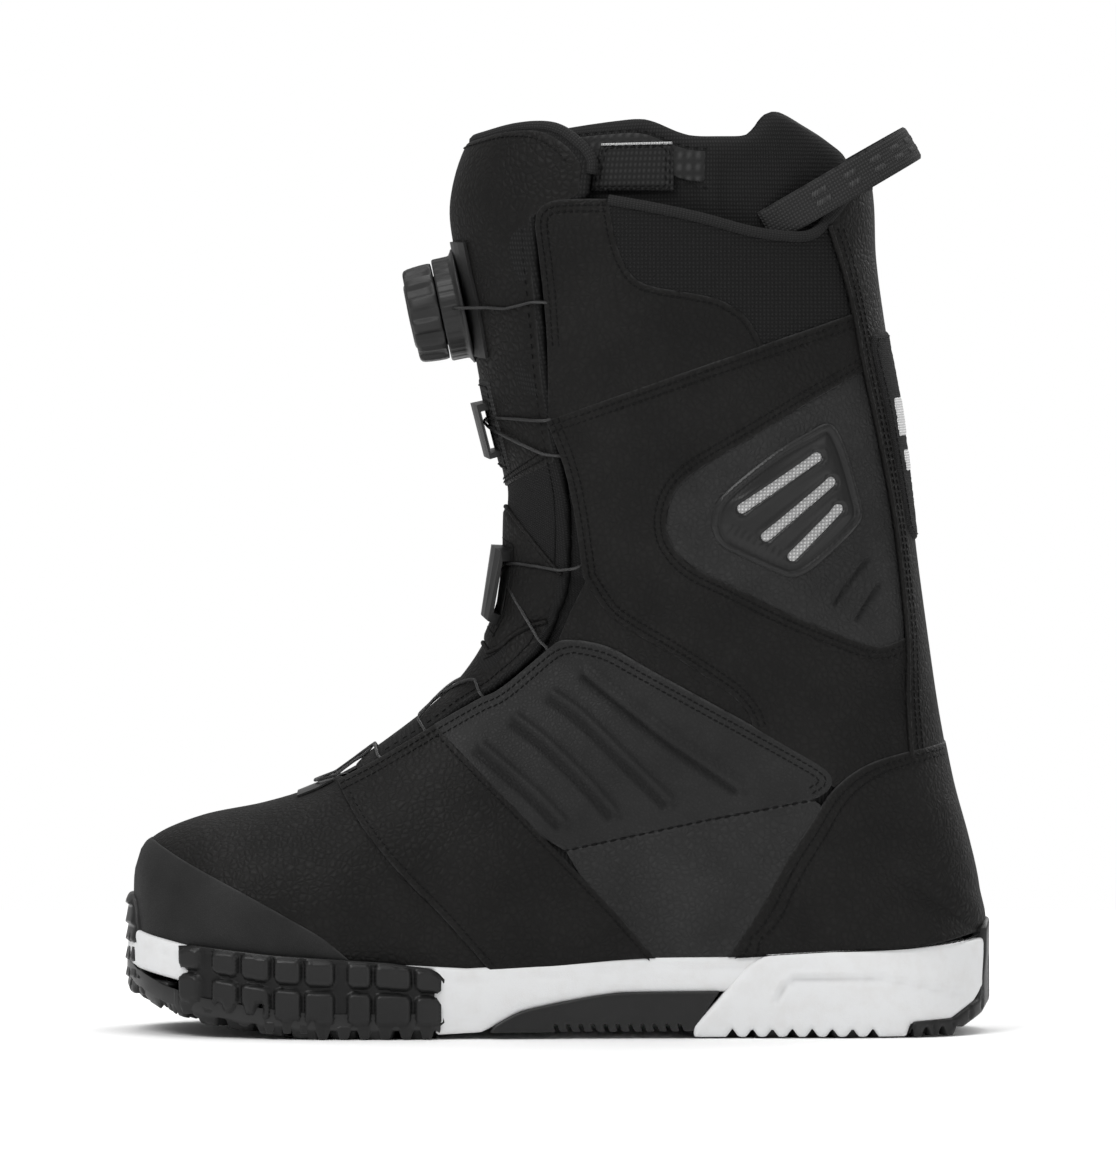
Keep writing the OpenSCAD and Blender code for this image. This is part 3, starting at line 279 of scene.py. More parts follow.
MATERIALS = {
    "leather_black": leather("black_leather", 0.0075, 0.04, 0.58, 430, 0.00022, 0.03),
    "leather_tongue": leather("tongue_leather", 0.0072, 0.04, 0.58, 400, 0.00024, 0.03),
    "toe_rubberised": leather("toe_overlay_coat", 0.021, 0.0, 0.62, 1500, 0.00003, 0.04),
    "ribbed_grey": leather("ribbed_leather", 0.0185, 0.0, 0.52, 700, 0.0001, 0.05),
    "pebbled_grey": leather("pebbled_leather", 0.0225, 0.0, 0.55, 480, 0.00028, 0.05),
    "outsole_rubber": rubber("outsole_rubber", 0.013, 0.38),
    "tpu_black": rubber("moulded_black", 0.013, 0.32, depth=0.00002),
    "dial_plastic": rubber("dial_nylon", 0.016, 0.38, depth=0.00002),
    "knob_rubber": rubber("knob_grip", 0.02, 0.45),
    "knob_cap": rubber("knob_cap_satin", 0.03, 0.3, depth=0.00002),
    "midsole_foam": foam("midsole_foam", 0.66),
    "collar_knit": weave("collar_knit", 0.012, 0.0014, 0.0004),
    "binding": weave("binding_tape", 0.02, 0.0011, 0.0002),
    "liner_foam": weave("liner_knit", 0.0135, 0.0009, 0.00018),
    "tongue_textile": weave("tongue_cloth", 0.013, 0.0011, 0.0002),
    "gusset_textile": weave("gusset_cloth", 0.012, 0.0012, 0.0002),
    "patch_textile": weave("patch_cloth", 0.02, 0.0013, 0.0003),
    "webbing_black": weave("webbing", 0.03, 0.0012, 0.0003),
    "vent_screen": weave("silver_screen", 0.5, 0.0013, 0.0003, 0.5, 0.4),
    "pile_patch": weave("pile", 0.02, 0.0007, 0.0004),
    "pile_mark": weave("pile_bars", 0.7, 0.0009, 0.0003),
    "thread": weave("sewing_thread", 0.006, 0.0004, 0.0001, 0.7),
    "band_knit": weave("honeycomb_knit", 0.03, 0.0026, 0.0006),
    "webbing_dash": weave("webbing_dashes", 0.045, 0.0009, 0.0002),
    "lasting_board": foam("lasting_board", 0.5),
    "stiffener_board": foam("stiffener_board", 0.55),
    "spool_plastic": rubber("spool_nylon", 0.3, 0.4, depth=0.00002),
    "shank_steel": metal("shank_steel", 0.4, 0.35),
    "inner_object": weave("lining_cloth", 0.02, 0.0014, 0.0002, own_flat=False),
    "liner_object": weave("liner_foot_cloth", 0.015, 0.0014, 0.0002, own_flat=False),
    "webbing_object": weave("guide_webbing", 0.02, 0.0013, 0.0003, own_flat=False),
    "footbed_object": weave("footbed_cloth", 0.05, 0.0014, 0.0002, own_flat=False),
    "lace_steel": metal("steel_cable", 0.1, 0.42, 0.0008),
    "screw_steel": metal("screw_steel", 0.6, 0.3),
}

# ---------------------------------------------------------------- the skin of the upper

# Front point x, z; back or bottom point x, z; half width; skew of the widest place; centre line's y
ROWS = np.array([
    [-152, 50, -151.8, 37, 3, 0, 8], [-149.5, 63, -149.5, 36, 18.5, 0, 8],
    [-143, 70.5, -143, 34.5, 31.5, 0, 7.5], [-127, 77, -127, 31, 45.5, 0, 6.5],
    [-105, 81.5, -105, 29, 53, 0, 5], [-85, 88.5, -83, 28, 55, 0, 3.5], [-68, 99.5, -58, 26, 54, 0, 2],
    [-51, 112, -32, 24.5, 51, 0, 1], [-38, 123, -4, 26, 47.5, 0, 0],
    [-29.5, 133.5, 28, 28.5, 45, -0.02, 0], [-24, 144, 62, 29, 43.5, -0.04, 0],
    [-21, 151.5, 98, 31, 43, -0.06, 0], [-19.8, 158, 128, 32, 43, -0.07, 0],
    [-19, 164, 150.5, 36, 43, -0.07, 0], [-18.6, 170, 149.8, 52, 43.5, -0.07, 0],
    [-18.3, 177, 146, 70, 44.5, -0.06, 0], [-18.2, 185, 140.5, 90, 45.5, -0.05, 0],
    [-18.4, 193, 136, 112, 46.5, -0.04, 0], [-19.6, 201, 132.5, 135, 47.5, -0.03, 0],
    [-22.5, 212, 129, 160, 49, -0.02, 0], [-26, 226, 125.5, 190, 51, 0, 0],
    [-29, 242, 121.5, 222, 53, 0.02, 0], [-32, 260, 116.5, 250, 55, 0.03, 0],
    [-36.5, 280, 113, 276, 56, 0.03, 0], [-38, 297, 112, 297, 57, 0.03, 0],
    [-33, 316, 109, 318, 56, 0.03, 0], [-22, 331, 101, 336, 54, 0.03, 0]], float)
LAST = len(ROWS) - 1
HEEL_ROW = 13
SQUARENESS = 0.85
EDGE_RATIO = 0.95
HEEL_CENTRE_X, HEEL_END_X = 100.0, 150.5
PLAN_POWER = 2.3


def curve_at(table, k):
    """A smooth curve through a table's rows, at k counted in rows."""
    k = np.asarray(k, float)
    last = len(table) - 1
    i = np.clip(np.floor(k), 0, last - 1).astype(int)
    t = (k - i)[..., None]
    a, b, c, d = table[np.maximum(i - 1, 0)], table[i], table[i + 1], table[np.minimum(i + 2, last)]
    return 0.5 * (2 * b + (c - a) * t + (2 * a - 5 * b + 4 * c - d) * t ** 2
                  + (3 * b - a - 3 * c + d) * t ** 3)


def skin(u, p, table=ROWS, end_x=HEEL_END_X):
    u, p = np.broadcast_arrays(np.asarray(u, float), np.asarray(p, float))
    s = curve_at(table, u)
    q = np.where(p > 1, p - 2, np.where(p < -1, p + 2, p))
    far = np.clip((s[..., 2] - HEEL_CENTRE_X) / (end_x - HEEL_CENTRE_X), 0, 1)
    ratio = np.where(u < HEEL_ROW, EDGE_RATIO * (1 - far ** PLAN_POWER) ** (1 / PLAN_POWER), 0)
    end = -np.sqrt(1 - ratio ** (2 / SQUARENESS))
    t = (1 - np.cos(np.pi * abs(q))) / 2
    c = 1 - t * (1 - end)
    y = s[..., 4] * np.maximum(1 - c * c, 0) ** (SQUARENESS / 2) * (1 + s[..., 5] * c)
    return np.stack([s[..., 0] + (s[..., 2] - s[..., 0]) * t, s[..., 6] + np.sign(q) * y,
                     s[..., 1] + (s[..., 3] - s[..., 1]) * t], -1)


def unit(v):
    return v / np.maximum(np.linalg.norm(v, axis=-1, keepdims=True), 1e-9)


def outward(u, p, table=ROWS, end_x=HEEL_END_X):
    u, p = np.broadcast_arrays(np.asarray(u, float), np.asarray(p, float))
    e = 0.004
    q = np.where(p > 1, p - 2, np.where(p < -1, p + 2, p))
    k = np.where(u < HEEL_ROW, np.clip(q, e - 1, 1 - e), q)
    w = np.clip(u, 0.1, LAST - 0.1)
    along = skin(w + 0.1, q, table, end_x) - skin(w - 0.1, q, table, end_x)
    round_ = skin(u, k + e, table, end_x) - skin(u, k - e, table, end_x)
    return unit(np.cross(along, round_))


def at(u, p, height):
    """The point of the skin at (u, p), height above it."""
    return skin(u, p) + outward(u, p) * np.asarray(height)[..., None]


def uv(points):
    """(u, p) on the inner side of points of the side view, x and z."""
    points = np.atleast_2d(np.asarray(points, float))
    x, z = points[:, 0], points[:, 1]
    low, high = np.zeros(len(x)), np.full(len(x), float(LAST))
    for _ in range(26):
        middle = (low + high) / 2
        s = curve_at(ROWS, middle)
        above = (s[:, 2] - s[:, 0]) * (z - s[:, 1]) - (s[:, 3] - s[:, 1]) * (x - s[:, 0]) > 0
        low, high = np.where(above, middle, low), np.where(above, high, middle)
    s = curve_at(ROWS, (low + high) / 2)
    t = np.hypot(x - s[:, 0], z - s[:, 1]) / np.hypot(s[:, 2] - s[:, 0], s[:, 3] - s[:, 1])
    return np.stack([(low + high) / 2, np.arccos(1 - 2 * np.clip(t, 0, 1)) / np.pi], 1)


# ---------------------------------------------------------------- lines and meshes


def resample(points, step):
    """The same line with evenly spaced points."""
    points = np.asarray(points, float)
    lengths = np.r_[0, np.cumsum(np.linalg.norm(np.diff(points, axis=0), axis=1))]
    count = max(int(round(lengths[-1] / step)), 1)
    s = np.linspace(0, lengths[-1], count + 1)
    return np.stack([np.interp(s, lengths, points[:, k]) for k in range(points.shape[1])], 1)


def smooth(points, step=1.0):
    """A smooth line through points, resampled evenly."""
    points = np.asarray(points, float)
    if len(points) > 2:
        points = curve_at(points, np.linspace(0, len(points) - 1, 16 * len(points)))
    return resample(points, step)


def outline(*lines, step=0.9):
    """A closed outline of smooth lines that meet at corners."""
    return np.concatenate([smooth(line, step)[:-1] for line in lines])


def parallel(line, distance):
    """A line at a distance to the left of another in the side view."""
    line = np.asarray(line, float)
    ahead = unit(np.gradient(line, axis=0))
    return line + distance * np.stack([-ahead[:, 1], ahead[:, 0]], 1)


def cut(line, start, end):
    """A line less a length at its start and at its end."""
    lengths = np.r_[0, np.cumsum(np.linalg.norm(np.diff(line, axis=0), axis=1))]
    s = np.linspace(start, lengths[-1] - end, len(line))
    return np.stack([np.interp(s, lengths, line[:, k]) for k in range(line.shape[1])], 1)


def distance_to(points, line):
    """Distance of each point from an open line, both in the side view."""
    best = np.full(len(points), 1e9)
    for a, b in zip(line[:-1], line[1:]):
        ab = b - a
        t = np.clip(((points - a) @ ab) / max(ab @ ab, 1e-12), 0, 1)
        best = np.minimum(best, np.hypot(*(points - a - t[:, None] * ab).T))
    return best


def inside(points, loop):
    """Which points lie inside a closed outline."""
    x, z = points.T
    result = np.zeros(len(points), bool)
    for (x0, z0), (x1, z1) in zip(loop, np.roll(loop, -1, 0)):
        crosses = (z0 > z) != (z1 > z)
        if crosses.any():
            result ^= crosses & (x < (x1 - x0) * (z - z0) / (z1 - z0 + 1e-12) + x0)
    return result


made = {}


def build(name, points, faces, material, body="boot", flat=None, masks=None, smooth_shade=True):
    """A piece from points in millimetres, riding on a body."""
    mesh = bpy.data.meshes.new(name)
    mesh.from_pydata((np.asarray(points) * MM).tolist(), [],
                     faces if isinstance(faces, list) else faces.tolist())
    mesh.validate()
    if flat is not None:
        data = mesh.attributes.new("flat", "FLOAT_VECTOR", "POINT").data
        full = np.zeros((len(points), 3))
        full[:, :flat.shape[1]] = flat * MM
        data.foreach_set("vector", full.ravel())
    for key, value in (masks or {}).items():
        mesh.attributes.new(key, "FLOAT", "POINT").data.foreach_set("value", np.asarray(value, float))
    mesh.materials.append(MATERIALS[material])
    mesh.polygons.foreach_set("use_smooth", [smooth_shade] * len(mesh.polygons))
    obj = bpy.data.objects.new(name, mesh)
    bpy.context.collection.objects.link(obj)
    if body:
        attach(obj, body)
    made[name] = obj
    return obj


def grid_faces(rows, columns, closed=False, flip=False):
    i, j = np.meshgrid(np.arange(rows - 1), np.arange(columns if closed else columns - 1), indexing="ij")
    a, b = i * columns + j, i * columns + (j + 1) % columns
    quads = np.stack([a, b, b + columns, a + columns], -1).reshape(-1, 4)
    return quads[:, ::-1] if flip else quads


def rounding(distance, radius):
    """How far a rounded edge lies below the top, at a distance from the edge."""
    inner = np.clip(distance / radius, 0, 1)
    return radius * (1 - np.sqrt(1 - (1 - inner) ** 2))


# ---------------------------------------------------------------- charts: flat coordinates and their places


def solve(value_at, target):
    """The row count u at which a rising value of the skin's table reaches a target."""
    low, high = np.zeros(len(target)), np.full(len(target), float(LAST))
    for _ in range(26):
        middle = (low + high) / 2
        below = value_at(middle) < target
        low, high = np.where(below, middle, low), np.where(below, high, middle)
    return (low + high) / 2


def side_chart(side):
    """The side view's x, z."""
    def chart(points):
        q = uv(points)
        return skin(q[:, 0], side * q[:, 1]), outward(q[:, 0], side * q[:, 1])
    return chart


TOE_SCALE = 85.0
HEEL_ROUND = 25.0
BACK_EDGE = curve_at(ROWS, np.linspace(HEEL_ROW, LAST, 300))[:, [2, 3]]


def back_x(z):
    """The back silhouette's x at a height."""
    return np.interp(z, BACK_EDGE[:, 1], BACK_EDGE[:, 0])


def back_chart(points):
    """Millimetres round from the back's centre line, outer side positive, and z."""
    s, z = points.T
    far = abs(s)
    inward = np.where(far < HEEL_ROUND, far ** 2 / (2 * HEEL_ROUND), far - HEEL_ROUND / 2)
    q = uv(np.stack([back_x(z) - inward, z], 1))
    p = np.where(far < 1e-6, 1, q[:, 1]) * np.where(s < 0, 1, -1)
    return skin(q[:, 0], p), outward(q[:, 0], p)


def toe_chart(points):
    """Millimetres round from the front's centre line, and x."""
    p = points[:, 0] / TOE_SCALE
    t = (1 - np.cos(np.pi * abs(p))) / 2

    def x_at(u):
        s = curve_at(ROWS, np.minimum(u, 12.9))
        return s[:, 0] + (s[:, 2] - s[:, 0]) * t
    u = np.minimum(solve(x_at, points[:, 1]), 12.9)
    return skin(u, p), outward(u, p)


FRONT_SCALE = (190.0, 12.0)


def front_chart(points):
    """p and u over the front, each scaled to about a millimetre."""
    p, u = points[:, 0] / FRONT_SCALE[0], points[:, 1] / FRONT_SCALE[1]
    return skin(u, p), outward(u, p)


def to_back(line):
    """A side-view line in the back's chart."""
    line = np.asarray(line, float)
    inward = np.maximum(back_x(line[:, 1]) - line[:, 0], 0)
    s = np.where(inward < HEEL_ROUND / 2, np.sqrt(2 * HEEL_ROUND * inward), inward + HEEL_ROUND / 2)
    return np.stack([s, line[:, 1]], 1)


def to_toe(line):
    q = uv(line)
    return np.stack([q[:, 1] * TOE_SCALE, np.asarray(line)[:, 0]], 1)


def to_front(line):
    q = uv(line)
    return np.stack([q[:, 1] * FRONT_SCALE[0], q[:, 0] * FRONT_SCALE[1]], 1)


def mirrored(half):
    """A closed outline from its half, which starts and ends on a centred chart's centre line."""
    return np.concatenate([half, (half * [-1, 1])[::-1][1:-1]])


# The sole's plan: x, half width, centre line's y; then heights along it
PLAN = np.array([[-160, 55, 8], [-127, 55.5, 6.5], [-105, 54.5, 5], [-83, 54, 3.5], [-58, 52.5, 2],
                 [-32, 49, 1], [-4, 45.5, 0], [28, 43, 0], [62, 41.5, 0], [98, 41.5, 0], [128, 41.5, 0],
                 [160, 41.5, 0]], float)
TOP_Z = np.array([[-156, 38], [-151.8, 36.7], [-143, 34.2], [-127, 30.7], [-105, 28.7], [-83, 27.7],
                  [-58, 25.7],
                  [-32, 24.2], [-4, 25.7], [28, 28.2], [62, 28.7], [98, 30.7], [128, 31.7], [156, 34]],
                  float)
BASE_Z = np.array([[-156, 20], [-150, 14], [-140, 9], [-125, 5], [-105, 2], [-85, 0], [124, 0], [140, 3],
                   [150, 8], [156, 14]], float)
PLAN_ENDS = (-152.0, 151.0)


def look(table, x, column=1):
    return np.interp(x, table[:, 0], table[:, column])


def plan_half(x):
    a = np.clip((-80 - x) / (-80 - PLAN_ENDS[0]), 0, 1)
    b = np.clip((x - 96) / (PLAN_ENDS[1] - 96), 0, 1)
    return (look(PLAN, x) - 0.6) * ((1 - a ** PLAN_POWER) * (1 - b ** PLAN_POWER)) ** (1 / PLAN_POWER)


def plan_loop():
    """The sole's outline from the toe's tip, down the outer side to the heel and back, every 0.5 mm."""
    t = np.linspace(0, np.pi, 900)
    x = (PLAN_ENDS[0] + PLAN_ENDS[1]) / 2 - (PLAN_ENDS[1] - PLAN_ENDS[0]) / 2 * np.cos(t)
    near = np.stack([x, look(PLAN, x, 2) - plan_half(x)], 1)
    far = np.stack([x, look(PLAN, x, 2) + plan_half(x)], 1)[::-1]
    return resample(np.concatenate([near, far[1:]]), 0.5)


WALL = plan_loop()
WALL_S = np.r_[0, np.cumsum(np.linalg.norm(np.diff(WALL, axis=0), axis=1))]
WALL_LENGTH = WALL_S[-1]
WALL_HALF = WALL_S[np.argmax(WALL[:, 0])]
_ahead = np.roll(WALL[:-1], -4, 0) - np.roll(WALL[:-1], 4, 0)
WALL_NORMAL = unit(np.stack([_ahead[:, 1], -_ahead[:, 0]], 1))
WALL_NORMAL = np.concatenate([WALL_NORMAL, WALL_NORMAL[:1]])


def wall_s(x):
    """Arc length along the outer side at x."""
    half = WALL[: np.argmax(WALL[:, 0]) + 1]
    return np.interp(x, half[:, 0], WALL_S[: len(half)])


def wall_x(s):
    return np.interp(np.mod(s, WALL_LENGTH), WALL_S, WALL[:, 0])


def wall_chart(points):
    s = np.mod(points[:, 0], WALL_LENGTH)
    place = np.stack([np.interp(s, WALL_S, WALL[:, k]) for k in (0, 1)] + [points[:, 1]], 1)
    normal = np.stack([np.interp(s, WALL_S, WALL_NORMAL[:, k]) for k in (0, 1)] + [0 * s], 1)
    return place, unit(normal)


def to_wall(line):
    line = np.asarray(line, float)
    return np.stack([wall_s(line[:, 0]), line[:, 1]], 1)


# ---------------------------------------------------------------- panels, stitches, cords


def outline_mesh(loop, holes, step, radius):
    """Triangles inside an outline: points, faces, distance from the edge, and the borders' indices."""
    rings = []
    for ring, turn in [(loop, 1)] + [(hole, -1) for hole in holes]:
        x, z = ring.T
        area = np.sum(x * np.roll(z, -1) - np.roll(x, -1) * z)
        rings.append(ring if area * turn > 0 else ring[::-1])
    border = np.concatenate(rings)
    points, depths, edges, borders = [border], [np.zeros(len(border))], [], []
    start = 0
    for ring in rings:
        index = np.arange(start, start + len(ring))
        borders.append(index)
        edges += np.stack([index, np.roll(index, -1)], 1).tolist()
        start += len(ring)
    low, high = border.min(0), border.max(0)

    def nearest(candidates, reach):
        """Which candidates keep a distance from the border."""
        keep = np.ones(len(candidates), bool)
        for first in range(0, len(candidates), 2000):
            block = candidates[first:first + 2000]
            gap = np.sqrt(((block[:, None] - border[None]) ** 2).sum(-1).min(1))
            keep[first:first + 2000] = gap > reach
        return candidates[keep]
    for offset in (radius * 0.3, radius, radius * 2.2):
        for ring in rings:
            ahead = unit(np.roll(ring, -1, 0) - np.roll(ring, 1, 0))
            moved = nearest(ring + offset * np.stack([-ahead[:, 1], ahead[:, 0]], 1), offset * 0.8)
            points.append(moved)
            depths.append(np.full(len(moved), offset))
    xs = np.arange(low[0], high[0], step)
    zs = np.arange(low[1], high[1], step * 0.866)
    grid = np.stack(np.meshgrid(xs, zs), -1)
    grid[1::2, :, 0] += step / 2
    grid = grid.reshape(-1, 2)
    keep = inside(grid, rings[0])
    for hole in rings[1:]:
        keep &= ~inside(grid, hole)
    grid = nearest(grid[keep], radius * 2.2 + step * 0.5)
    points.append(grid)
    depths.append(np.full(len(grid), 9.0))
    points, depths = np.concatenate(points), np.concatenate(depths)
    verts, _, faces, sources, _, _ = geometry.delaunay_2d_cdt([Vector(p) for p in points], edges, [], 1,
                                                              1e-5)
    verts = np.array([v[:] for v in verts])
    first = np.array([s[0] if s else -1 for s in sources])
    depth = np.where(first >= 0, depths[np.maximum(first, 0)], 9.0)
    where = np.full(len(points), -1)
    for new, old in enumerate(sources):
        where[old] = new
    faces = np.array([f for f in faces if len(f) == 3])
    middle = verts[faces].mean(1)
    for hole in rings[1:]:
        faces = faces[~inside(middle, hole)]
        middle = verts[faces].mean(1)
    return verts, faces, depth, [where[b] for b in borders]


def panel(name, loop, chart, height, thickness, material, relief=None, step=1.7, holes=(), radius=0.5,
          body="boot", back=False):
    """A sheet laid on a chart and rounded at its edges. back closes its underside too."""
    flat, faces, depth, borders = outline_mesh(np.asarray(loop), [np.asarray(h) for h in holes], step,
                                               radius)
    place, normal = chart(flat)
    top = height - rounding(depth, radius * 2.2) * 0.6
    if relief is not None:
        top = top + relief(flat) * np.clip(depth / 2, 0, 1)
    upper = place + normal * top[:, None]
    # Painted shade: recess marks the relief's hollows for the shade mask, which the materials darken. The
    # edge mask marks the band along the edge, which they paint paler as a highlight.
    recess = np.zeros(len(flat)) if relief is None else np.clip(-relief(flat) / 0.9, 0, 1)
    points, flats, edge, shade = [upper], [flat], [np.exp(-(depth / 0.35) ** 2)], [recess]
    a, b, c = upper[faces[:, 0]], upper[faces[:, 1]], upper[faces[:, 2]]
    if np.sum(np.einsum("ij,ij->i", np.cross(b - a, c - a), normal[faces[:, 0]])) < 0:
        faces = faces[:, ::-1]
        borders = [border[::-1] for border in borders]
    all_faces = faces.tolist()
    count = len(upper)
    if back:
        points.append(place + normal * (height - thickness))
        flats.append(flat)
        edge.append(np.zeros(count))
        shade.append(np.zeros(count))
        all_faces += (faces[:, ::-1] + count).tolist()
        for border in borders:
            all_faces += [[int(b), int(a), count + int(a), count + int(b)]
                          for a, b in zip(border, np.roll(border, -1))]
        borders = []
    for border in borders:
        lower = place[border] + normal[border] * (height - thickness)
        points.append(lower)
        flats.append(flat[border])
        # The cut sides get the whole edge mask and half the shade mask: a paler edge with a painted
        # highlight, and painted shade.
        edge.append(np.ones(len(border)))
        shade.append(np.full(len(border), 0.5))
        n = len(border)
        all_faces += [[int(border[(k + 1) % n]), int(border[k]), count + k, count + (k + 1) % n]
                      for k in range(n)]
        count += n
    return build(name, np.concatenate(points), all_faces, material, body, np.concatenate(flats),
                 {"edge": np.concatenate(edge), "shade": np.concatenate(shade)})


def along(line, chart, height):
    """Points, directions and normals on a chart along a line."""
    place, normal = chart(np.asarray(line))
    place = place + normal * height
    return place, unit(np.gradient(place, axis=0)), normal


def capsules():
    """A stitch's shape along X: five sides, round ends."""
    rings = [(-0.5, 0.35), (-0.3, 1.0), (0.3, 1.0), (0.5, 0.35)]
    points = [[x, r * math.cos(a), r * math.sin(a)]
              for x, r in rings for a in np.arange(5) * math.tau / 5]
    faces = grid_faces(4, 5, closed=True).tolist() + [[4, 3, 2, 1, 0], [15, 16, 17, 18, 19]]
    return np.array(points), faces


def stitches(name, lines, height=0.0, pitch=2.3, length=1.75, radius=0.24, material="thread",
             body="boot"):
    """Rows of stitches. lines is a list of (line, chart) or (line, chart, height)."""
    shape, faces = capsules()
    points, all_faces = [], []
    for line, chart, *own in lines:
        line = resample(np.asarray(line, float), pitch)
        if len(line) < 3:
            continue
        place, ahead, normal = along(line, chart, own[0] if own else height)
        across = unit(np.cross(normal, ahead))
        slant = ahead + across * 0.12
        for k in range(len(line)):
            spot = place[k] + shape[:, :1] * length * slant[k] + radius * (shape[:, 1:2] * across[k]
                                                                           + shape[:, 2:] * normal[k])
            all_faces += [[len(points) * 20 + i for i in f] for f in faces]
            points.append(spot)
    return build(name, np.concatenate(points), all_faces, material, body,
                 np.concatenate(points)[:, [0, 2]])


def tube(points, radius, sides=10, closed=False):
    """Points and faces of a round cord along a line in space, its frame carried along without twist."""
    points = np.asarray(points, float)
    ahead = unit(np.roll(points, -1, 0) - np.roll(points, 1, 0) if closed
                 else np.gradient(points, axis=0))
    frame_ = np.zeros_like(points)
    start = np.cross(ahead[0], [0.3, 1, 0.2])
    frame_[0] = start / np.linalg.norm(start)
    for k in range(1, len(points)):
        v = frame_[k - 1] - ahead[k] * (frame_[k - 1] @ ahead[k])
        frame_[k] = v / np.linalg.norm(v)
    other = np.cross(ahead, frame_)
    angle = np.arange(sides) * math.tau / sides
    radius = np.broadcast_to(radius, len(points))
    ring = np.cos(angle)[None, :, None] * frame_[:, None] + np.sin(angle)[None, :, None] * other[:, None]
    verts = (points[:, None] + radius[:, None, None] * ring).reshape(-1, 3)
    faces = grid_faces(len(points), sides, closed=True).tolist()
    if closed:
        faces += grid_faces(2, sides, closed=True).tolist()
        last = (len(points) - 1) * sides
        faces[-sides:] = [[last + k, last + (k + 1) % sides, (k + 1) % sides, k] for k in range(sides)]
    else:
        n = (len(points) - 1) * sides
        faces += [list(range(sides))[::-1], [n + k for k in range(sides)]]
    lengths = np.r_[0, np.cumsum(np.linalg.norm(np.diff(points, axis=0), axis=1))]
    flat = np.stack([np.repeat(lengths, sides), np.tile(angle * 3, len(points))], 1)
    return verts, faces, flat


def piping(name, line, chart, height, radius, material, body="boot"):
    place, _, _ = along(smooth(line, 1.2), chart, height)
    verts, faces, flat = tube(place, radius)
    return build(name, verts, faces, material, body, flat)


# ---------------------------------------------------------------- the upper: pattern lines in the side view

vamp_seam = [(-24, 24.6), (-33, 35), (-42, 45), (-53, 56), (-62, 66), (-69, 75), (-74, 83), (-78, 90)]
toe_line = [(-73, 27.6), (-83, 36), (-96, 43.5), (-110, 51), (-122, 57), (-133, 62.5), (-143, 68)]
throat_low = [(-78, 90), (-65, 97), (-54, 103.5), (-43, 110.3)]
instep_front = [(-43, 110.3), (-28, 95), (-13, 80), (1, 65.5), (19, 47), (35, 28.6)]
instep_top = [(-43.5, 110.5), (-28.5, 119.3), (-19.5, 124), (-2.5, 138.2)]
instep_back = [(8, 141.2), (19, 138.6), (33, 131), (51, 121.2), (69, 111.4), (87, 101.2)]
instep_corner = [(87, 101.2), (94.5, 96.5), (97.6, 92.5), (96, 88), (91, 84.8)]
dashed_seam = [(91, 84.8), (51, 77), (3, 66.8)]
counter_line = [(60.5, 28.8), (64, 34), (73, 48), (81.5, 63.5), (89, 75), (96, 86), (103, 93), (112, 98),
                (125, 101.5), (138.2, 104)]
back_seam = [(125.5, 99), (124.2, 120), (124, 141), (122.4, 159), (120.3, 177), (117.4, 195),
             (113.8, 213), (109.2, 234), (105, 256), (100.6, 274), (96, 288.5)]
collar_line = [(18, 297.6), (33, 295), (51, 291.2), (69, 286.4), (83.5, 284.6), (91, 285.6),
               (97.5, 291.5), (104, 299), (109.9, 301.6)]
wrap_top = [(-3.8, 219.4), (33, 232.5), (69, 245), (106, 257.4)]
wrap_front = [(9.3, 163.5), (8.4, 170), (6, 187), (2.4, 203), (-3.8, 219.4)]
wrap_low = [(69.5, 110), (68.4, 114), (64.5, 119.4), (59, 124.2), (41.2, 136), (25.8, 145), (17.5, 151.4),
            (9.3, 163.5)]
badge_line = [(124, 141.8), (115.5, 139), (108, 140.5), (97.5, 144.5), (80, 152), (62, 161), (48, 168),
              (41, 175.5), (39, 182.5), (40, 190), (44, 197), (53, 204), (69, 213.5), (87, 224.5),
              (103, 233.5), (111, 237.8)]
cuff_front = [(-3.2, 218), (-3.6, 245), (-4.8, 262), (-6.4, 276), (-7.9, 288)]
cuff_corner = [(-7.9, 288), (-7.2, 293), (-4, 296.4), (2, 297.8), (18, 298)]
cuff_back = [(18, 298), (20.5, 284), (23.5, 275.5), (28, 269.5), (35, 266.7), (47, 264.7), (58, 262),
             (67, 256), (73, 246)]
vent_line = [(54.6, 182), (57.5, 175.6), (64.5, 171.6), (80, 164.6), (85, 164.2), (90, 166.6),
             (98, 173.2), (106, 181.4), (108.2, 186.4), (106.4, 195), (102.6, 208), (98.6, 216.6),
             (94.6, 218.2), (89, 215.4), (77, 208.4), (62, 196.6), (56, 189.6)]
VENT_SLOTS = [((65.5, 188.4), (92, 206.4)), ((74, 178.4), (97, 197.6)), ((83.4, 171.4), (99.6, 188))]
SLOT_WIDTH = 3.6


def ridge(points, line, width, height):
    """A soft raised ridge along a line."""
    gap = distance_to(points, smooth(line, 2))
    return height * np.exp(-(gap / width) ** 2)


RIBS = [[(-26.5, 103), (-18, 96), (-6, 85.5), (2, 77)], [(-14, 113), (-3, 104.5), (10, 92), (20.5, 80.5)],
        [(-1, 121.5), (9, 114.5), (24, 100), (40, 84.5)], [(11, 129.5), (24, 119), (42, 105), (65, 89.5)]]


def instep_relief(points):
    """Four ribs that rise over their lower edge, a dimple at the lower end of each, and a low border."""
    total = np.zeros(len(points))
    for rib in RIBS:
        crest = smooth(rib, 2)
        total += ridge(points, crest, 2.0, 1.7) - ridge(points, crest + [-1.9, -2.1], 1.1, 1.2)
        total -= ridge(points, crest + [1.7, 1.9], 1.0, 0.5)
        total -= 0.7 * np.exp(-((np.hypot(*(points - crest[-1] - [1.5, -1.6]).T)) / 1.7) ** 2)
    return total


def side_relief(points):
    return 0.12 * np.sin(points[:, 0] * 0.21) * np.cos(points[:, 1] * 0.17)


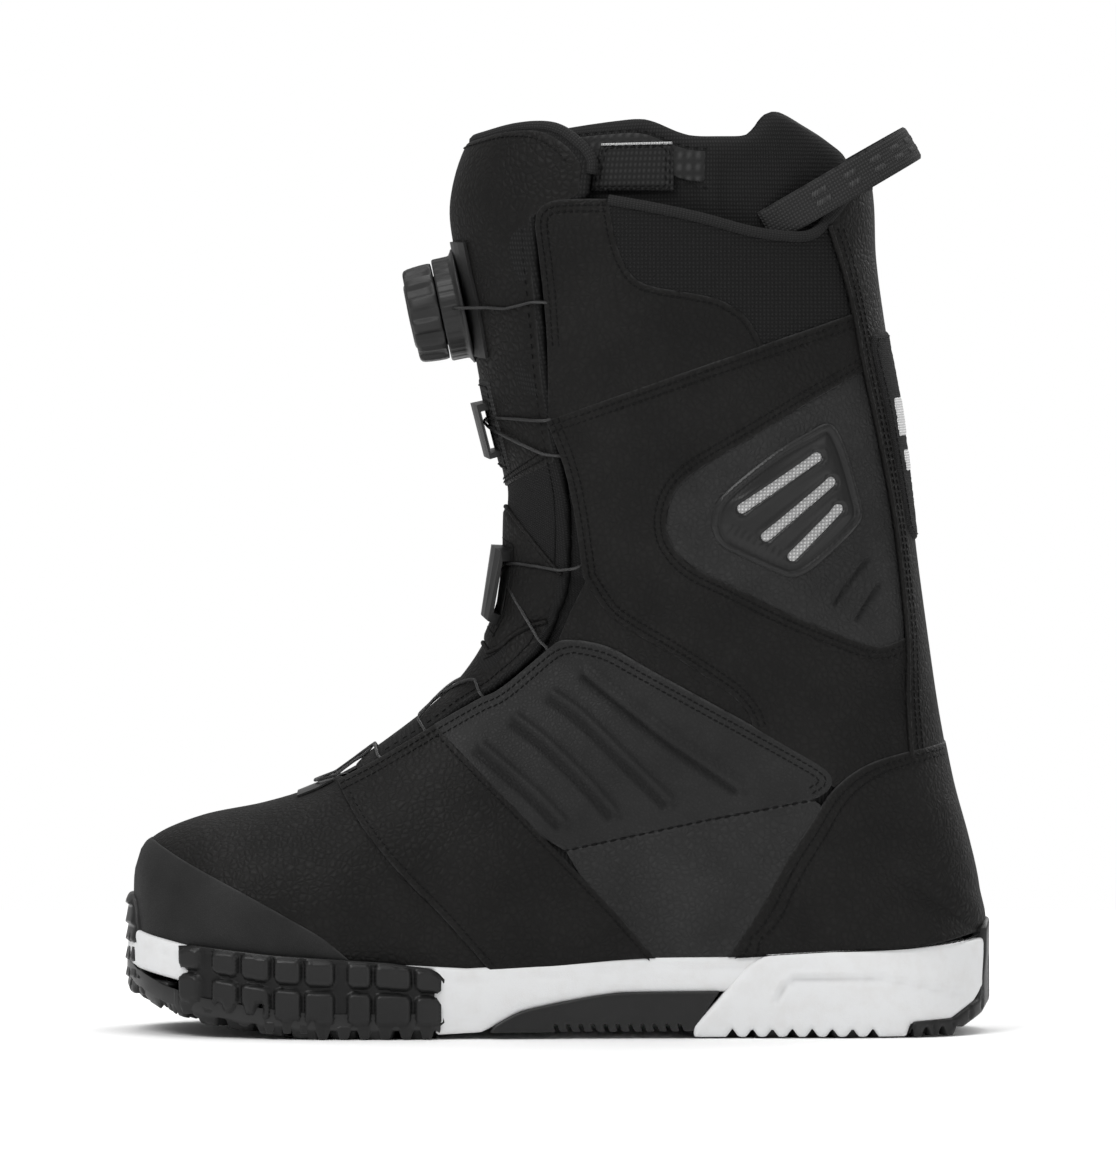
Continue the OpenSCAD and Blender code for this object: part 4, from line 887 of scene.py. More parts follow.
def soft(scale, size):
    """The slight unevenness of stitched leather."""
    def relief(points):
        x, z = points.T
        return size * (np.sin(x / scale + 1.3) * np.cos(z / (scale * 1.3))
                       + 0.5 * np.sin((x + z) / (scale * 0.45)))
    return relief


def badge_relief(points):
    """The swelling of the padded badge panel, with two pressed marks below the vent."""
    total = 0.5 * np.exp(-(np.hypot(points[:, 0] - 84, points[:, 1] - 190) / 24) ** 2)
    for line in ([(97, 156), (101.5, 162.5), (108.2, 171)], [(105, 150.8), (108.4, 156), (112.6, 162)]):
        crest = smooth(line, 1.5)
        total += ridge(points, crest, 1.4, 0.9) - ridge(points, crest + [1.5, -1.4], 1.0, 1.1)
    return total


def slot_outline(a, b, width):
    """A long slot with round ends."""
    a, b = np.array(a), np.array(b)
    ahead = unit(b - a)
    side = np.array([-ahead[1], ahead[0]])
    turn = np.linspace(0, np.pi, 9)[:, None]
    one = b + width / 2 * (side * np.cos(turn) + ahead * np.sin(turn))
    two = a - width / 2 * (side * np.cos(turn) + ahead * np.sin(turn))
    return np.concatenate([one, two])


def frame_relief(points):
    """A raised rim, a groove inside it, and raised bars round each slot."""
    gap = distance_to(points, np.concatenate([vent_loop, vent_loop[:1]]))
    total = 0.9 * np.exp(-((gap - 1.1) / 0.8) ** 2) - 0.6 * np.exp(-((gap - 2.9) / 0.7) ** 2)
    total += 0.35 * np.clip((gap - 4.2) / 1.5, 0, 1)
    for a, b in VENT_SLOTS:
        line = resample([a, b], 2)
        around = distance_to(points, line)
        total += 0.5 * np.exp(-((around - SLOT_WIDTH / 2 - 0.9) / 0.7) ** 2)
    along_strip = (points[:, 0] - 60) * 0.9 - (points[:, 1] - 184) * 0.44
    across_strip = distance_to(points, resample([(62, 179.6), (82.5, 169.2)], 2))
    return total + 0.22 * np.sin(along_strip * 2.6) * (across_strip < 2.6) * (gap > 3.4)


vent_loop = smooth(vent_line + [vent_line[0]], 0.7)[:-1]
vent_hole = vent_loop + 1.8 * unit(np.array([84, 190]) - vent_loop)

upper_side = {LATERAL: "_lateral", MEDIAL: "_medial"}
for side in BOTH:
    chart = side_chart(side)
    end = upper_side[side]
    quarter = panel("forefoot_quarter" + end + "_leather",
                    outline(vamp_seam, throat_low, instep_front, [(35, 28.6), (4, 26), (-24, 24.6)]),
                    chart, 1.5, 1.5, "leather_black", soft(11, 0.12))
    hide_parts("forefoot_quarter" + end)
    instep = panel("instep_panel" + end + "_leather",
                   outline(instep_top, [(-2.5, 138.2), (1.5, 140.9), (8, 141.2)], instep_back,
                           instep_corner,
                           dashed_seam, [(3, 66.8), (-15.5, 78), (-31, 93.6), (-43.5, 106.6)],
                           [(-43.5, 106.6), (-43.5, 110.5)]),
                   chart, 1.1, 1.1, "ribbed_grey", instep_relief, step=1.15)
    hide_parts("instep_panel" + end)
    lower = panel("side_panel" + end + "_leather",
                  outline(dashed_seam[::-1],
                          [(91, 84.8), (94, 80), (84.5, 66), (75.5, 49), (66, 34), (64, 29)],
                          [(64, 29), (33, 28.6)], [(33, 28.6), (16, 46), (3, 66.8)]),
                  chart, 1.1, 1.1, "pebbled_grey", side_relief)
    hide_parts("side_panel" + end)
    under = panel("under_panel" + end,
                  outline([(-2.5, 134), (4, 150), (12, 166)],
                          [(12, 166), (30, 150), (60, 130), (76, 116), (74, 104)],
                          [(74, 104), (51, 117), (33, 126), (8, 136), (-2.5, 134)]),
                  chart, 0.1, 1.0, "leather_black", soft(9, 0.1))
    wrap = panel("ankle_wrap" + end + "_leather",
                 outline(wrap_top, [(106, 257.4), (111, 237.8)], badge_line[::-1],
                         [(124, 141.8), (126, 120), (127, 97)],
                         [(127, 97), (112, 94), (100, 89), (92, 94), (80, 101), (69.5, 107), (69.5, 110)],
                         wrap_low, wrap_front),
                 chart, 0.8, 1.0, "leather_black", soft(13, 0.14))
    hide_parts("ankle_wrap" + end)
    badge_under = parallel(smooth(badge_line, 2), 2.5)
    badge = panel("ankle_panel" + end + "_leather",
                  outline([(124, 141.8), (126, 139)], badge_under,
                          [(111, 239), (121, 180), (124, 159), (124, 141.8)]),
                  chart, 0.1, 1.0, "pebbled_grey", badge_relief, step=1.4, holes=[vent_hole])
    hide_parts("ankle_panel" + end)
    frame_piece = panel("vent_frame" + end + "_moulding", vent_loop, chart, 0.75, 1.8, "tpu_black",
                        frame_relief, step=0.8,
                        holes=[slot_outline(a, b, SLOT_WIDTH) for a, b in VENT_SLOTS], radius=0.35)
    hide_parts("vent_frame" + end)
    screen = panel("vent_mesh" + end + "_cloth", vent_hole, chart, -0.1, 0.5, "vent_screen", step=2.4,
                   relief=lambda q: 0.35 * sum(ridge(q, [a, b], 1.3, 1) for a, b in VENT_SLOTS))
    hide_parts("vent_mesh" + end)
    cuff = panel("cuff_panel" + end + "_leather",
                 outline(cuff_front, cuff_corner, cuff_back,
                         [(73, 246), (71, 243), (33, 229), (-3.2, 216), (-3.2, 218)]),
                 chart, 0.45, 1.0, "leather_black", soft(15, 0.12))
    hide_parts("cuff_panel" + end)
    knit = panel("collar_mesh" + end + "_knit",
                 outline([(14, 297), (17.5, 284), (21.5, 273.5), (27, 266.5), (35, 263.5), (47, 261.5),
                          (58, 258.6), (66, 250), (72, 242)], [(72, 242), (105, 254)],
                          [(107, 254), (103, 274), (98, 289)],
                         collar_line[6::-1] + [(14, 298)], [(14, 298), (14, 297)]),
                 chart, -0.25, 1.0, "collar_knit")
    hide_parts("collar_mesh" + end)

# ---------------------------------------------------------------- the upper: pieces over the toe and heel

vamp_half = np.concatenate([
    [[0, -80]], resample(to_toe([(x + 3.2, z + 1.5) for x, z in vamp_seam[::-1]]), 1.5),
    [[TOE_SCALE * 0.995, -22]],
    resample([(TOE_SCALE * 0.995, -24), (TOE_SCALE * 0.995, -78)], 1.5),
    resample(to_toe([(x - 4, z) for x, z in toe_line]), 1.5), [[0, -147.5]]])
vamp = panel("vamp_leather", mirrored(resample(vamp_half, 1.3)), toe_chart, 0.0, 1.0, "leather_black",
             soft(14, 0.15))
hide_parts("vamp")
toe_half = np.concatenate([[[0, -146.5]], to_toe(smooth(toe_line[::-1], 1.2)), [[TOE_SCALE * 0.995, -74]],
                           resample([(TOE_SCALE * 0.995, -76), (TOE_SCALE * 0.995, -151.5)], 1.5),
                           [[0, -151.7]]])
toe = panel("toe_overlay_coat", mirrored(resample(toe_half, 1.1)), toe_chart, 0.5, 0.9, "toe_rubberised",
            soft(18, 0.1), radius=0.4)
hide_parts("toe_overlay")

counter_half = np.concatenate([
    [[0, 104.3]], to_back(smooth(counter_line[::-1], 1.3)),
    to_back(smooth([(60.5, 28.8), (98, 30.8), (128, 32.2), (146, 35.4), (149.5, 36.2)], 1.3)),
    [[0, 36.6]]])
counter = panel("heel_counter_leather", mirrored(resample(counter_half, 1.2)), back_chart, 1.5, 1.5,
                "leather_black", soft(16, 0.12))
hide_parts("heel_counter")
back_half = np.concatenate([[[0, 301.8]],
                            to_back(smooth(collar_line[:5:-1] + [(97.5, 291.5), (96, 288.5)], 1.2)),
                            to_back(smooth(back_seam[::-1], 1.3)), [[0, 99]]])
back = panel("back_panel_leather", mirrored(resample(back_half, 1.2)), back_chart, 1.1, 1.2,
             "leather_black", soft(17, 0.1))
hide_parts("back_panel")

seams = []
for side in BOTH:
    chart = side_chart(side)

    def row(line, *offsets, height=0.9, trim=(1.5, 1.5)):
        base = smooth(line, 1.0)
        for offset in offsets:
            seams.append((cut(parallel(base, offset), *trim), chart, height))
    row(wrap_top, -2.2, -4.6, height=0.95)
    row(badge_line, 2.2, 4.4, height=0.95)
    row(wrap_low, -2.2, -4.4, height=0.95)
    row(wrap_front, -2.4, -4.6, height=0.95)
    row(cuff_front[1:] + cuff_corner[1:], -2.2, -4.4, height=0.6)
    row(cuff_back, -2.2, height=0.6)
    row(vamp_seam, -2.4, height=1.65)
    row(throat_low, -2.0, -4.0, height=1.65)
    row(instep_front, -2.2, height=1.65)
    row(instep_top + [(4, 140.9)] + instep_back + instep_corner[1:], -2.4, -4.6, height=1.25)
    row(vent_line + [vent_line[0]], 1.5, height=0.25)
seams.append((resample(mirrored(counter_half)[3:-3] * [0.965, 1] + [0, -2.0], 1.2), back_chart, 1.65))
seams.append((resample(mirrored(counter_half)[3:-3] * [0.935, 1] + [0, -4.0], 1.2), back_chart, 1.65))
for sign_ in BOTH:
    seam = to_back(smooth(back_seam, 1.0))[4:-2] * [sign_, 1]
    seams.append((seam - [sign_ * 2.6, 0], back_chart, 1.2))
    seams.append((seam - [sign_ * 4.6, 0], back_chart, 1.2))
    piping("backstay_piping" + upper_side[-sign_], to_back(back_seam) * [sign_, 1], back_chart, 1.1, 0.95,
           "leather_black")
stitches("upper_stitching", seams)

collar_half = to_back(smooth(collar_line, 1.2))
collar_path = np.concatenate([collar_half, [[0, 301.9]], collar_half[::-1] * [-1, 1]])
piping("collar_binding", resample(collar_path, 2.5), back_chart, -0.6, 2.0, "binding")
dashes = [(dashed_seam, side_chart(side), 1.0) for side in BOTH]
stitches("side_panel_dashes", dashes, pitch=3.4, length=2.3, radius=0.3)

# ---------------------------------------------------------------- the sole: walls, then the underside

MIDSOLE_OUT, RUBBER_OUT, POD_OUT, TOE_STRIP_OUT = 1.7, 3.1, 3.0, 1.6
MIDDLE_END = 76.0
LUG = 3.2


def about_heel(half):
    """A closed outline on the wall's chart from its outer half, which starts and ends at the heel's tip."""
    half = np.asarray(half, float)
    other = half * [-1, 1] + [2 * WALL_HALF, 0]
    return np.concatenate([half, other[::-1][1:-1]])


def wall_line(points, step=1.2):
    return to_wall(resample(points, step))


def top_line(x0, x1, rise=1.0):
    x = np.linspace(x0, x1, max(int(abs(x1 - x0) / 1.5), 2))
    return to_wall(np.stack([x, look(TOP_Z, x) + rise], 1))


def teeth(x0, x1, low, high, count):
    """A jagged lower edge: count pointed lugs from x0 to x1."""
    pitch = (x1 - x0) / count
    points = []
    for k in range(count):
        x = x0 + k * pitch
        points += [(x, high), (x + 0.22 * pitch, low), (x + 0.62 * pitch, low), (x + 0.85 * pitch, high)]
    return np.array(points + [(x1, high)])


def foam_relief(points):
    """The foam's wall: a low swelling and a moulded line under its top."""
    x, z = wall_x(points[:, 0]), points[:, 1]
    high = look(TOP_Z, x)
    total = (0.5 * np.sin(np.clip((z - 4) / (high - 4), 0, 1) * np.pi)
             - 0.35 * np.exp(-((z - high + 3.4) / 0.5) ** 2))
    return total - 3.0 * np.clip((x + 131) / 2, 0, 1) * np.clip((-43 - x) / 2, 0, 1)


ARCH_TOP = np.array([(-42, 1.8), (-27, 2.6), (-22.2, 4.9), (-12.9, 9.9), (2, 13.2), (21.8, 16.3),
                     (57.6, 16.7), (76, 16.7)])
middle_half = np.concatenate([
    [[0, look(TOP_Z, -152) + 1]], top_line(-151.9, MIDDLE_END, 1.0),
    wall_line([(MIDDLE_END, 25), (MIDDLE_END, 17)]),
    wall_line(ARCH_TOP[::-1], 1.5),
    wall_line([(-43, 2), (-43, 12), (-120, 16), (-133, 20), (-151.9, 24)], 1.5), [[0, 24.2]]])
midsole_wall = panel("midsole_wall", mirrored(resample(middle_half, 1.3)), wall_chart, MIDSOLE_OUT, 4.0,
                     "midsole_foam", foam_relief, radius=0.7)
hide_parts("midsole")


def pod_relief(points):
    """The heel block: a pressed ledge with a raised rim, and a line that runs back from it."""
    x, z = wall_x(points[:, 0]), points[:, 1]
    q = np.stack([x, z], 1)
    ledge = resample([(77, 15.5), (78.5, 18), (83, 22.6), (110, 23.3)], 2)
    total = ridge(q, ledge, 0.9, 0.8) - ridge(q, ledge + [0.6, -1.5], 1.0, 0.9)
    tail = resample([(110, 23.3), (128, 19.6), (141.8, 16.1)], 2)
    total += ridge(q, tail, 0.8, 0.6) - ridge(q, tail + [0, -1.3], 0.9, 0.6)
    return total + 0.5 * np.sin(np.clip(z / 30, 0, 1) * np.pi)


notches = []
for k in range(8):
    start = 60 + k * 7.1
    notches += [(start, 0.6), (start + 2.2, 3.6), (start + 4.4, 0.6)]
pod_half = np.concatenate([
    [[WALL_HALF, 35]], top_line(149, 75, 0.6),
    wall_line([(73.4, 29.4), (68, 26.1), (48.3, 4.3), (48.6, 0.6), (59, 0.6)]),
    wall_line(notches, 0.9),
    wall_line([(123.4, 0.6), (124.9, 5.0), (138.2, 5.9), (146.4, 11.8), (149.4, 17), (150.2, 25)]),
    [[WALL_HALF, 27]]])
pod_wall = panel("heel_pod_wall", about_heel(resample(pod_half, 1.0)), wall_chart, POD_OUT, 5.0,
                 "midsole_foam", pod_relief, radius=0.9)
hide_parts("heel_pod")

FOREFOOT_TOP = [(-133.5, 32.6), (-128.5, 32.9), (-100, 29.9), (-60.1, 27.4), (-45, 25.2), (-42, 23.8),
                (-40, 21.5)]
FOREFOOT_LOW = np.concatenate([teeth(-133.5, -104, 8.5, 12.6, 4), teeth(-104, -86, 2.2, 6.6, 3),
                               teeth(-86, -42, 0.4, 4.4, 6), [(-40, 6)]])
BLOCKS = [(-133, -125.6), (-121.4, -112.6), (-111.4, -101.3), (-99.9, -90.5), (-89.3, -78.8),
          (-74.4, -65.8), (-64.6, -51.9), (-50.5, -41.2)]


def block_relief(points):
    """Two rows of rounded rubber blocks that stand over the wall between them."""
    x, z = wall_x(points[:, 0]), points[:, 1]
    top = np.interp(x, *np.array(FOREFOOT_TOP).T) - 0.5
    low = np.interp(x, [-133, -104, -86, -40], [13.2, 7.2, 5.2, 5.0])
    mid = (top + low) / 2 + 1.2
    best = np.full(len(points), -9.0)
    for x0, x1 in BLOCKS:
        for z0, z1 in ((mid + 0.9, top), (low, mid - 0.9)):
            across = (x1 - x0) / 2 - abs(x - (x0 + x1) / 2)
            up = (z1 - z0) / 2 - abs(z - (z0 + z1) / 2)
            corner = 2.2 - np.hypot(np.maximum(2.2 - across, 0), np.maximum(2.2 - up, 0))
            best = np.maximum(best, np.minimum(np.minimum(across, up), corner))
    return 1.5 * np.clip(best / 0.9, 0, 1) ** 0.7 - 1.0 * (best < 0.05) * (z > low)


ARCH_LINE = [(-22, 5.2), (-12.9, 9.9), (2, 13.2), (21.8, 16.3), (57.6, 16.7)]
arch_cuts = []
for k in range(11):
    x = 45 - k * 4.4
    arch_cuts += [(x, 2.6), (x - 1.2, 5.4), (x - 2.4, 5.4), (x - 1.6, 2.6)]
for side, end in upper_side.items():
    turn = [1, 1] if side == LATERAL else [-1, 1]
    half = np.concatenate([wall_line(FOREFOOT_TOP), wall_line([(-40, 21), (-40, 6.5)]),
                           wall_line(FOREFOOT_LOW[::-1], 0.9),
                           wall_line([(-133.5, 13.6), (-133.5, 30.5)])])
    panel("forefoot_rubber_wall" + end, half * turn, wall_chart, RUBBER_OUT - 0.8, 5.0, "outsole_rubber",
          block_relief, step=0.85, radius=0.5)
    half = np.concatenate([to_wall(smooth(ARCH_LINE, 1)),
                           wall_line([(57, 15.8), (53, 10), (48.7, 3.4)], 1),
                           wall_line([(48, 2.6)] + arch_cuts + [(-6, 2.4), (-24, 2.4), (-22.6, 4.4)],
                                     0.8)])
    arch = panel("arch_wall" + end, resample(half, 0.9) * turn, wall_chart, RUBBER_OUT - 0.3, 5.0,
                 "outsole_rubber", radius=0.6)
    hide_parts("arch_insert")


def ribbed(pitch, centre, high):
    """Upright grooves at a pitch along the wall, below a height."""
    def relief(points):
        place = np.mod(points[:, 0] - centre + 100 * pitch + pitch / 2, pitch) - pitch / 2
        return -0.9 * np.exp(-(place / 0.65) ** 4) * np.clip((high - points[:, 1]) / 2, 0, 1)
    return relief


bumper_half = np.concatenate([
    [[0, 49.5], [9, 49.2], [15, 47.5], [19, 43], [21, 37], [21.5, 26], [26, 20.8]],
    wall_line([(-146.5, 20.2), (-137.8, 19.2)], 1.0),
    wall_line(teeth(-151.8, -137.5, 14.0, 17.4, 4)[::-1], 0.8), [[0, 14.5]]])


def toe_steps(points):
    """Low climbing steps across the toe strip, over its upright grooves."""
    return ribbed(7.5, 0, 36)(points) + 1.3 * (1 - np.mod(points[:, 1], 6.5) / 6.5)


bumper = panel("toe_rubber_wall", mirrored(resample(bumper_half, 1.0)), wall_chart, TOE_STRIP_OUT, 5.0,
               "outsole_rubber", toe_steps, step=1.0, radius=0.6)
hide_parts("toe_tread")
heel_half = np.concatenate([
    [[WALL_HALF, 41]], wall_line([(150.6, 40), (149.6, 37.5), (149.4, 29), (148.6, 22)], 1.0),
    wall_line([(147.4, 13), (139, 6.6), (125.6, 5.8), (124.2, 1.4)], 1.0),
    wall_line(teeth(125, 141, 0.4, 3.8, 3), 0.9),
    wall_line([(142, 3), (148.5, 7.5), (150, 10)], 1.0), [[WALL_HALF, 12]]])
heel_wall = panel("heel_rubber_wall", about_heel(resample(heel_half, 1.0)), wall_chart, RUBBER_OUT + 0.7,
                  5.0, "outsole_rubber", ribbed(8, WALL_HALF, 28), step=1.2, radius=0.7)
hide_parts("heel_tread")


def bottom_chart(points):
    x, y = points.T
    return np.stack([x, y, look(BASE_Z, x)], 1), np.tile([0.0, 0.0, -1.0], (len(points), 1))


def plan_region(x0, x1, grow, step=1.5):
    """The sole's outline between two cuts across it."""
    ring = WALL[:-1] + WALL_NORMAL[:-1] * grow
    keep = (ring[:, 0] >= x0) & (ring[:, 0] <= x1)
    if keep[0] and keep[-1]:
        first = len(keep) - np.argmin(keep[::-1])
        ring, keep = np.roll(ring, -first, 0), np.roll(keep, -first)
    loop = ring[keep]
    return resample(np.concatenate([loop, loop[:1]]), step)[:-1]


def lugs(size, gap, lean, split=0.0):
    """Blocks in offset rows, pointed along the sole: their height over the plate between them."""
    def relief(points):
        x, y = points[:, 0] + lean * abs(points[:, 1] - 1), points[:, 1] - 1
        row = np.floor(x / size[0])
        across = np.mod(y + np.mod(row, 2) * size[1] / 2 + 500 * size[1], size[1])
        ahead = np.mod(x, size[0])
        edge = np.minimum(np.minimum(across, size[1] - across), np.minimum(ahead, size[0] - ahead))
        sipe = split * np.exp(-((across - size[1] / 2) / 0.45) ** 4)
        return LUG * np.clip((edge - gap / 2) / 0.7, 0, 1) * (1 - 0.45 * sipe)
    return relief


for name, region, pattern in (
        ("toe_tread_lugs", (-170, -133.5, 2.2), lugs((9, 12), 2.6, -0.2)),
        ("forefoot_tread_lugs", (-136.5, -41, 2.2), lugs((13, 15), 2.8, 0.35, 1.0)),
        ("heel_pod_lugs", (49, 124, 2.0), lugs((14, 17), 2.8, -0.3, 1.0)),
        ("heel_tread_lugs", (122.5, 170, 2.2), lugs((8.5, 13), 2.6, 0.25))):
    panel(name, plan_region(*region), bottom_chart, -LUG, 6.0, "outsole_rubber", pattern,
                         step=1.25, radius=0.5)
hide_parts("outsole_forefoot")


def arch_relief(points):
    """The waist's underside: a raised middle rib and low cross ribs."""
    x, y = points.T
    rib = np.clip(1 - (abs(y - 1) / 9) ** 4, 0, 1) * 1.6
    cross = 1.0 * np.clip(np.cos(x * 2 * np.pi / 12) * 3, 0, 1) * (abs(y - 1) < 30)
    return np.maximum(rib, cross)


panel("waist_underside", plan_region(-42.5, 50.5, 1.0), bottom_chart, -6.0, 4.0, "midsole_foam",
      arch_relief, step=1.6)

# ---------------------------------------------------------------- tongue

THROAT = np.array([0.06, 0.14, 0.165, 0.17, 0.21, 0.232, 0.235, 0.228, 0.222, 0.236, 0.245, 0.25, 0.255,
                   0.26, 0.265, 0.27, 0.275, 0.285, 0.3, 0.31, 0.32])


def throat(u):
    return np.interp(u, np.arange(5, 26), THROAT)


def front(points):
    """Rows of (p, u) in the front's chart."""
    return np.asarray(points, float) * FRONT_SCALE


def edge_of_tongue(u0, u1, inset, step=0.15):
    u = np.linspace(u0, u1, max(int(abs(u1 - u0) / step), 2))
    return front(np.stack([throat(u) - inset, u], 1))


TONGUE_TOP = [(0.385, 24.5), (0.382, 24.75), (0.355, 25.05), (0.315, 25.3), (0.27, 25.42), (0.2, 25.42),
              (0.1, 25.28), (0.0, 25.2)]
tongue_half = np.concatenate([front([(0, 5.7)]), edge_of_tongue(5.75, 23.7, 0.012),
                              front([(0.345, 23.85), (0.385, 24.1)]), smooth(front(TONGUE_TOP), 1.2)])


def tongue_relief(points):
    """Soft swelling, and the shallow channel down the middle where the guides sit."""
    p, u = points[:, 0] / FRONT_SCALE[0], points[:, 1] / FRONT_SCALE[1]
    return 0.35 * np.sin(u * 2.1) * np.cos(p * 9) - 0.4 * np.exp(-(p / 0.05) ** 2)


tongue_body = panel("tongue_padding", mirrored(resample(tongue_half, 1.6)), front_chart, -0.1, 4.0,
                    "tongue_textile", tongue_relief, step=2.2, radius=1.2, body="tongue", back=True)
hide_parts("tongue")


def tongue_lines(*lines, inset=0.02):
    """Side-view lines as they run on the front's chart, each cut off at the tongue's edge."""
    result = []
    for line in lines:
        line = to_front(smooth(line, 1.2))
        limit = (throat(line[:, 1] / FRONT_SCALE[1]) - inset) * FRONT_SCALE[0]
        result.append(line[line[:, 0] <= limit + 0.5])
    return result


def tongue_piece(name, low, high, height, thickness, material, relief=None, radius=0.5, inset=0.02):
    """A layer over the tongue between two lines that run from its edge to its front."""
    edge = edge_of_tongue(low[0, 1] / FRONT_SCALE[1], high[0, 1] / FRONT_SCALE[1], inset)
    half = np.concatenate([[[0, low[-1, 1]]], low[::-1], edge[1:-1], high, [[0, high[-1, 1]]]])
    half = half[np.r_[True, np.linalg.norm(np.diff(half, axis=0), axis=1) > 0.05]]
    return panel(name, mirrored(resample(half, 1.4)), front_chart, height, thickness, material, relief,
                 step=1.9, radius=radius, body="tongue")


LEATHER_LOW = front([(0.13, 5.9), (0.07, 5.85)])
pad_top, pad_low, seam_high = tongue_lines([(5, 161), (-1.8, 167.9), (-10, 177.8), (-17.6, 187.5)],
                                           [(6.5, 154), (-1, 148.6), (-8.6, 146.1), (-15, 142.8),
                                            (-20.6, 138), (-24.4, 136)],
                                           [(2, 206), (-8, 201), (-18.8, 195.4)])
tongue_piece("tongue_lower_leather", LEATHER_LOW, pad_low, 0.0, 1.2, "leather_tongue", soft(12, 0.15))
tongue_piece("tongue_pad", pad_low, pad_top, 0.4, 1.8, "leather_tongue",
             lambda q: 0.6 + 0.3 * np.sin(q[:, 1] / 9) * np.cos(q[:, 0] / 11), radius=1.4)
upper_half = np.concatenate([[[0, seam_high[-1, 1]]], seam_high[::-1],
                             edge_of_tongue(seam_high[0, 1] / FRONT_SCALE[1], 23.7, 0.02)[1:],
                             front([(0.34, 23.9), (0.372, 24.15), (0.372, 24.5)]),
                             smooth(front(TONGUE_TOP) * [0.965, 0.9965], 1.2)[2:]])
panel("tongue_upper_leather", mirrored(resample(upper_half, 1.4)), front_chart, 0.15, 1.1,
      "leather_tongue", soft(16, 0.2), step=1.9, body="tongue")
whole = np.concatenate([smooth(front(TONGUE_TOP), 1.2),
                        (smooth(front(TONGUE_TOP), 1.2) * [-1, 1])[::-1][1:]])
piping("tongue_binding", whole, front_chart, -2.3, 2.5, "binding", body="tongue")
for name, line in (("tongue_pad_piping_low", pad_low), ("tongue_pad_piping_high", pad_top)):
    piping(name, resample(np.concatenate([line, (line * [-1, 1])[::-1]]), 1.4), front_chart, 0.2, 0.85,
           "leather_black", body="tongue")
tongue_seams = []
for sign in BOTH:
    for line, offset, height in ((seam_high, 2.2, 0.35), (seam_high, 4.2, 0.35), (pad_low, -2.4, 0.2)):
        moved = line + [0, offset]
        tongue_seams.append((moved[moved[:, 0] < 42] * [sign, 1], front_chart, height))
    edge = edge_of_tongue(6.4, 23.4, 0.035)
    tongue_seams.append((edge * [sign, 1], front_chart, 0.15))
rim = (smooth(front(TONGUE_TOP), 1.2) * [0.93, 0.9915])[6:]
tongue_seams.append((np.concatenate([rim, (rim * [-1, 1])[::-1][1:]]), front_chart, 0.3))

# Webbing under each lace guide, sewn down round its edge
for name, (u0, u1), half_p, height in (("guide_tape_high", (18.1, 20.5), 0.098, 0.75),
                                       ("guide_tape_low", (9.9, 15.1), 0.106, 0.95)):
    box = front([(0, u0), (half_p, u0), (half_p, u1), (0, u1)])
    panel(name, mirrored(resample(box, 1.2)), front_chart, height, 0.9, "webbing_black", body="tongue",
          step=1.6)
    ring = front([(-half_p + 0.012, u0 + 0.14), (half_p - 0.012, u0 + 0.14), (half_p - 0.012, u1 - 0.14),
                  (-half_p + 0.012, u1 - 0.14), (-half_p + 0.012, u0 + 0.14)])
    tongue_seams.append((resample(ring, 1.2), front_chart, height + 0.2))
stitches("tongue_stitching", tongue_seams, body="tongue")

# ---------------------------------------------------------------- gussets and lace


def gusset(side):
    """A folded strip of cloth from inside the quarter's front edge to behind the tongue's edge."""
    rows, columns = 90, 9
    u = np.linspace(6.6, 23.2, rows)[:, None]
    t = np.linspace(0, 1, columns)[None, :]
    p = throat(u) + 0.045 - 0.1 * t
    depth = 3.2 + 1.7 * t + 0.5 * np.sin(t * np.pi * 2) + 0.15 * np.sin(u * 9) * np.sin(t * np.pi)
    layers = [at(u + 0 * t, side * p, -depth - extra).reshape(-1, 3) for extra in (0, 0.4)]
    faces = grid_faces(rows, columns, flip=side > 0)
    flat = np.tile(np.stack([(u + 0 * t) * 12, p * 190], -1).reshape(-1, 2), (2, 1))
    return build("gusset_fold" + upper_side[side], np.concatenate(layers),
                 np.concatenate([faces, faces[:, ::-1] + rows * columns]), "gusset_textile", None, flat)


def eye(x, z, side, height):
    q = uv([(x, z)])[0]
    return at(q[0], side * q[1], height)


DIAL_AT, DIAL_TILT = np.array([-32.0, 0.0, 260.0]), math.radians(12)
DIAL_OUT = np.array([-math.cos(DIAL_TILT), 0, -math.sin(DIAL_TILT)])
DIAL_UP = np.array([-math.sin(DIAL_TILT), 0, math.cos(DIAL_TILT)])


def on_dial(up, across, out):
    return DIAL_AT + up * DIAL_UP + np.array([0, across, 0]) + out * DIAL_OUT


def bridge(start, end, side, lift):
    """Stations over the tongue from one of its edges to the other, standing highest in the middle."""
    (u0, p0), (u1, p1) = uv([start])[0], uv([end])[0]
    t = np.linspace(0, 1, 9)
    return list(at(u0 + (u1 - u0) * t, side * (p0 - (p0 + p1) * t),
                   1.5 + (lift - 1.5) * np.sin(np.pi * t)))


# How high each half stands over the tongue, and how much of that is left at the lower crossings
LACE_LIFTS = {LATERAL: 0.9, MEDIAL: 2.1}
LOW_LIFT = 0.6


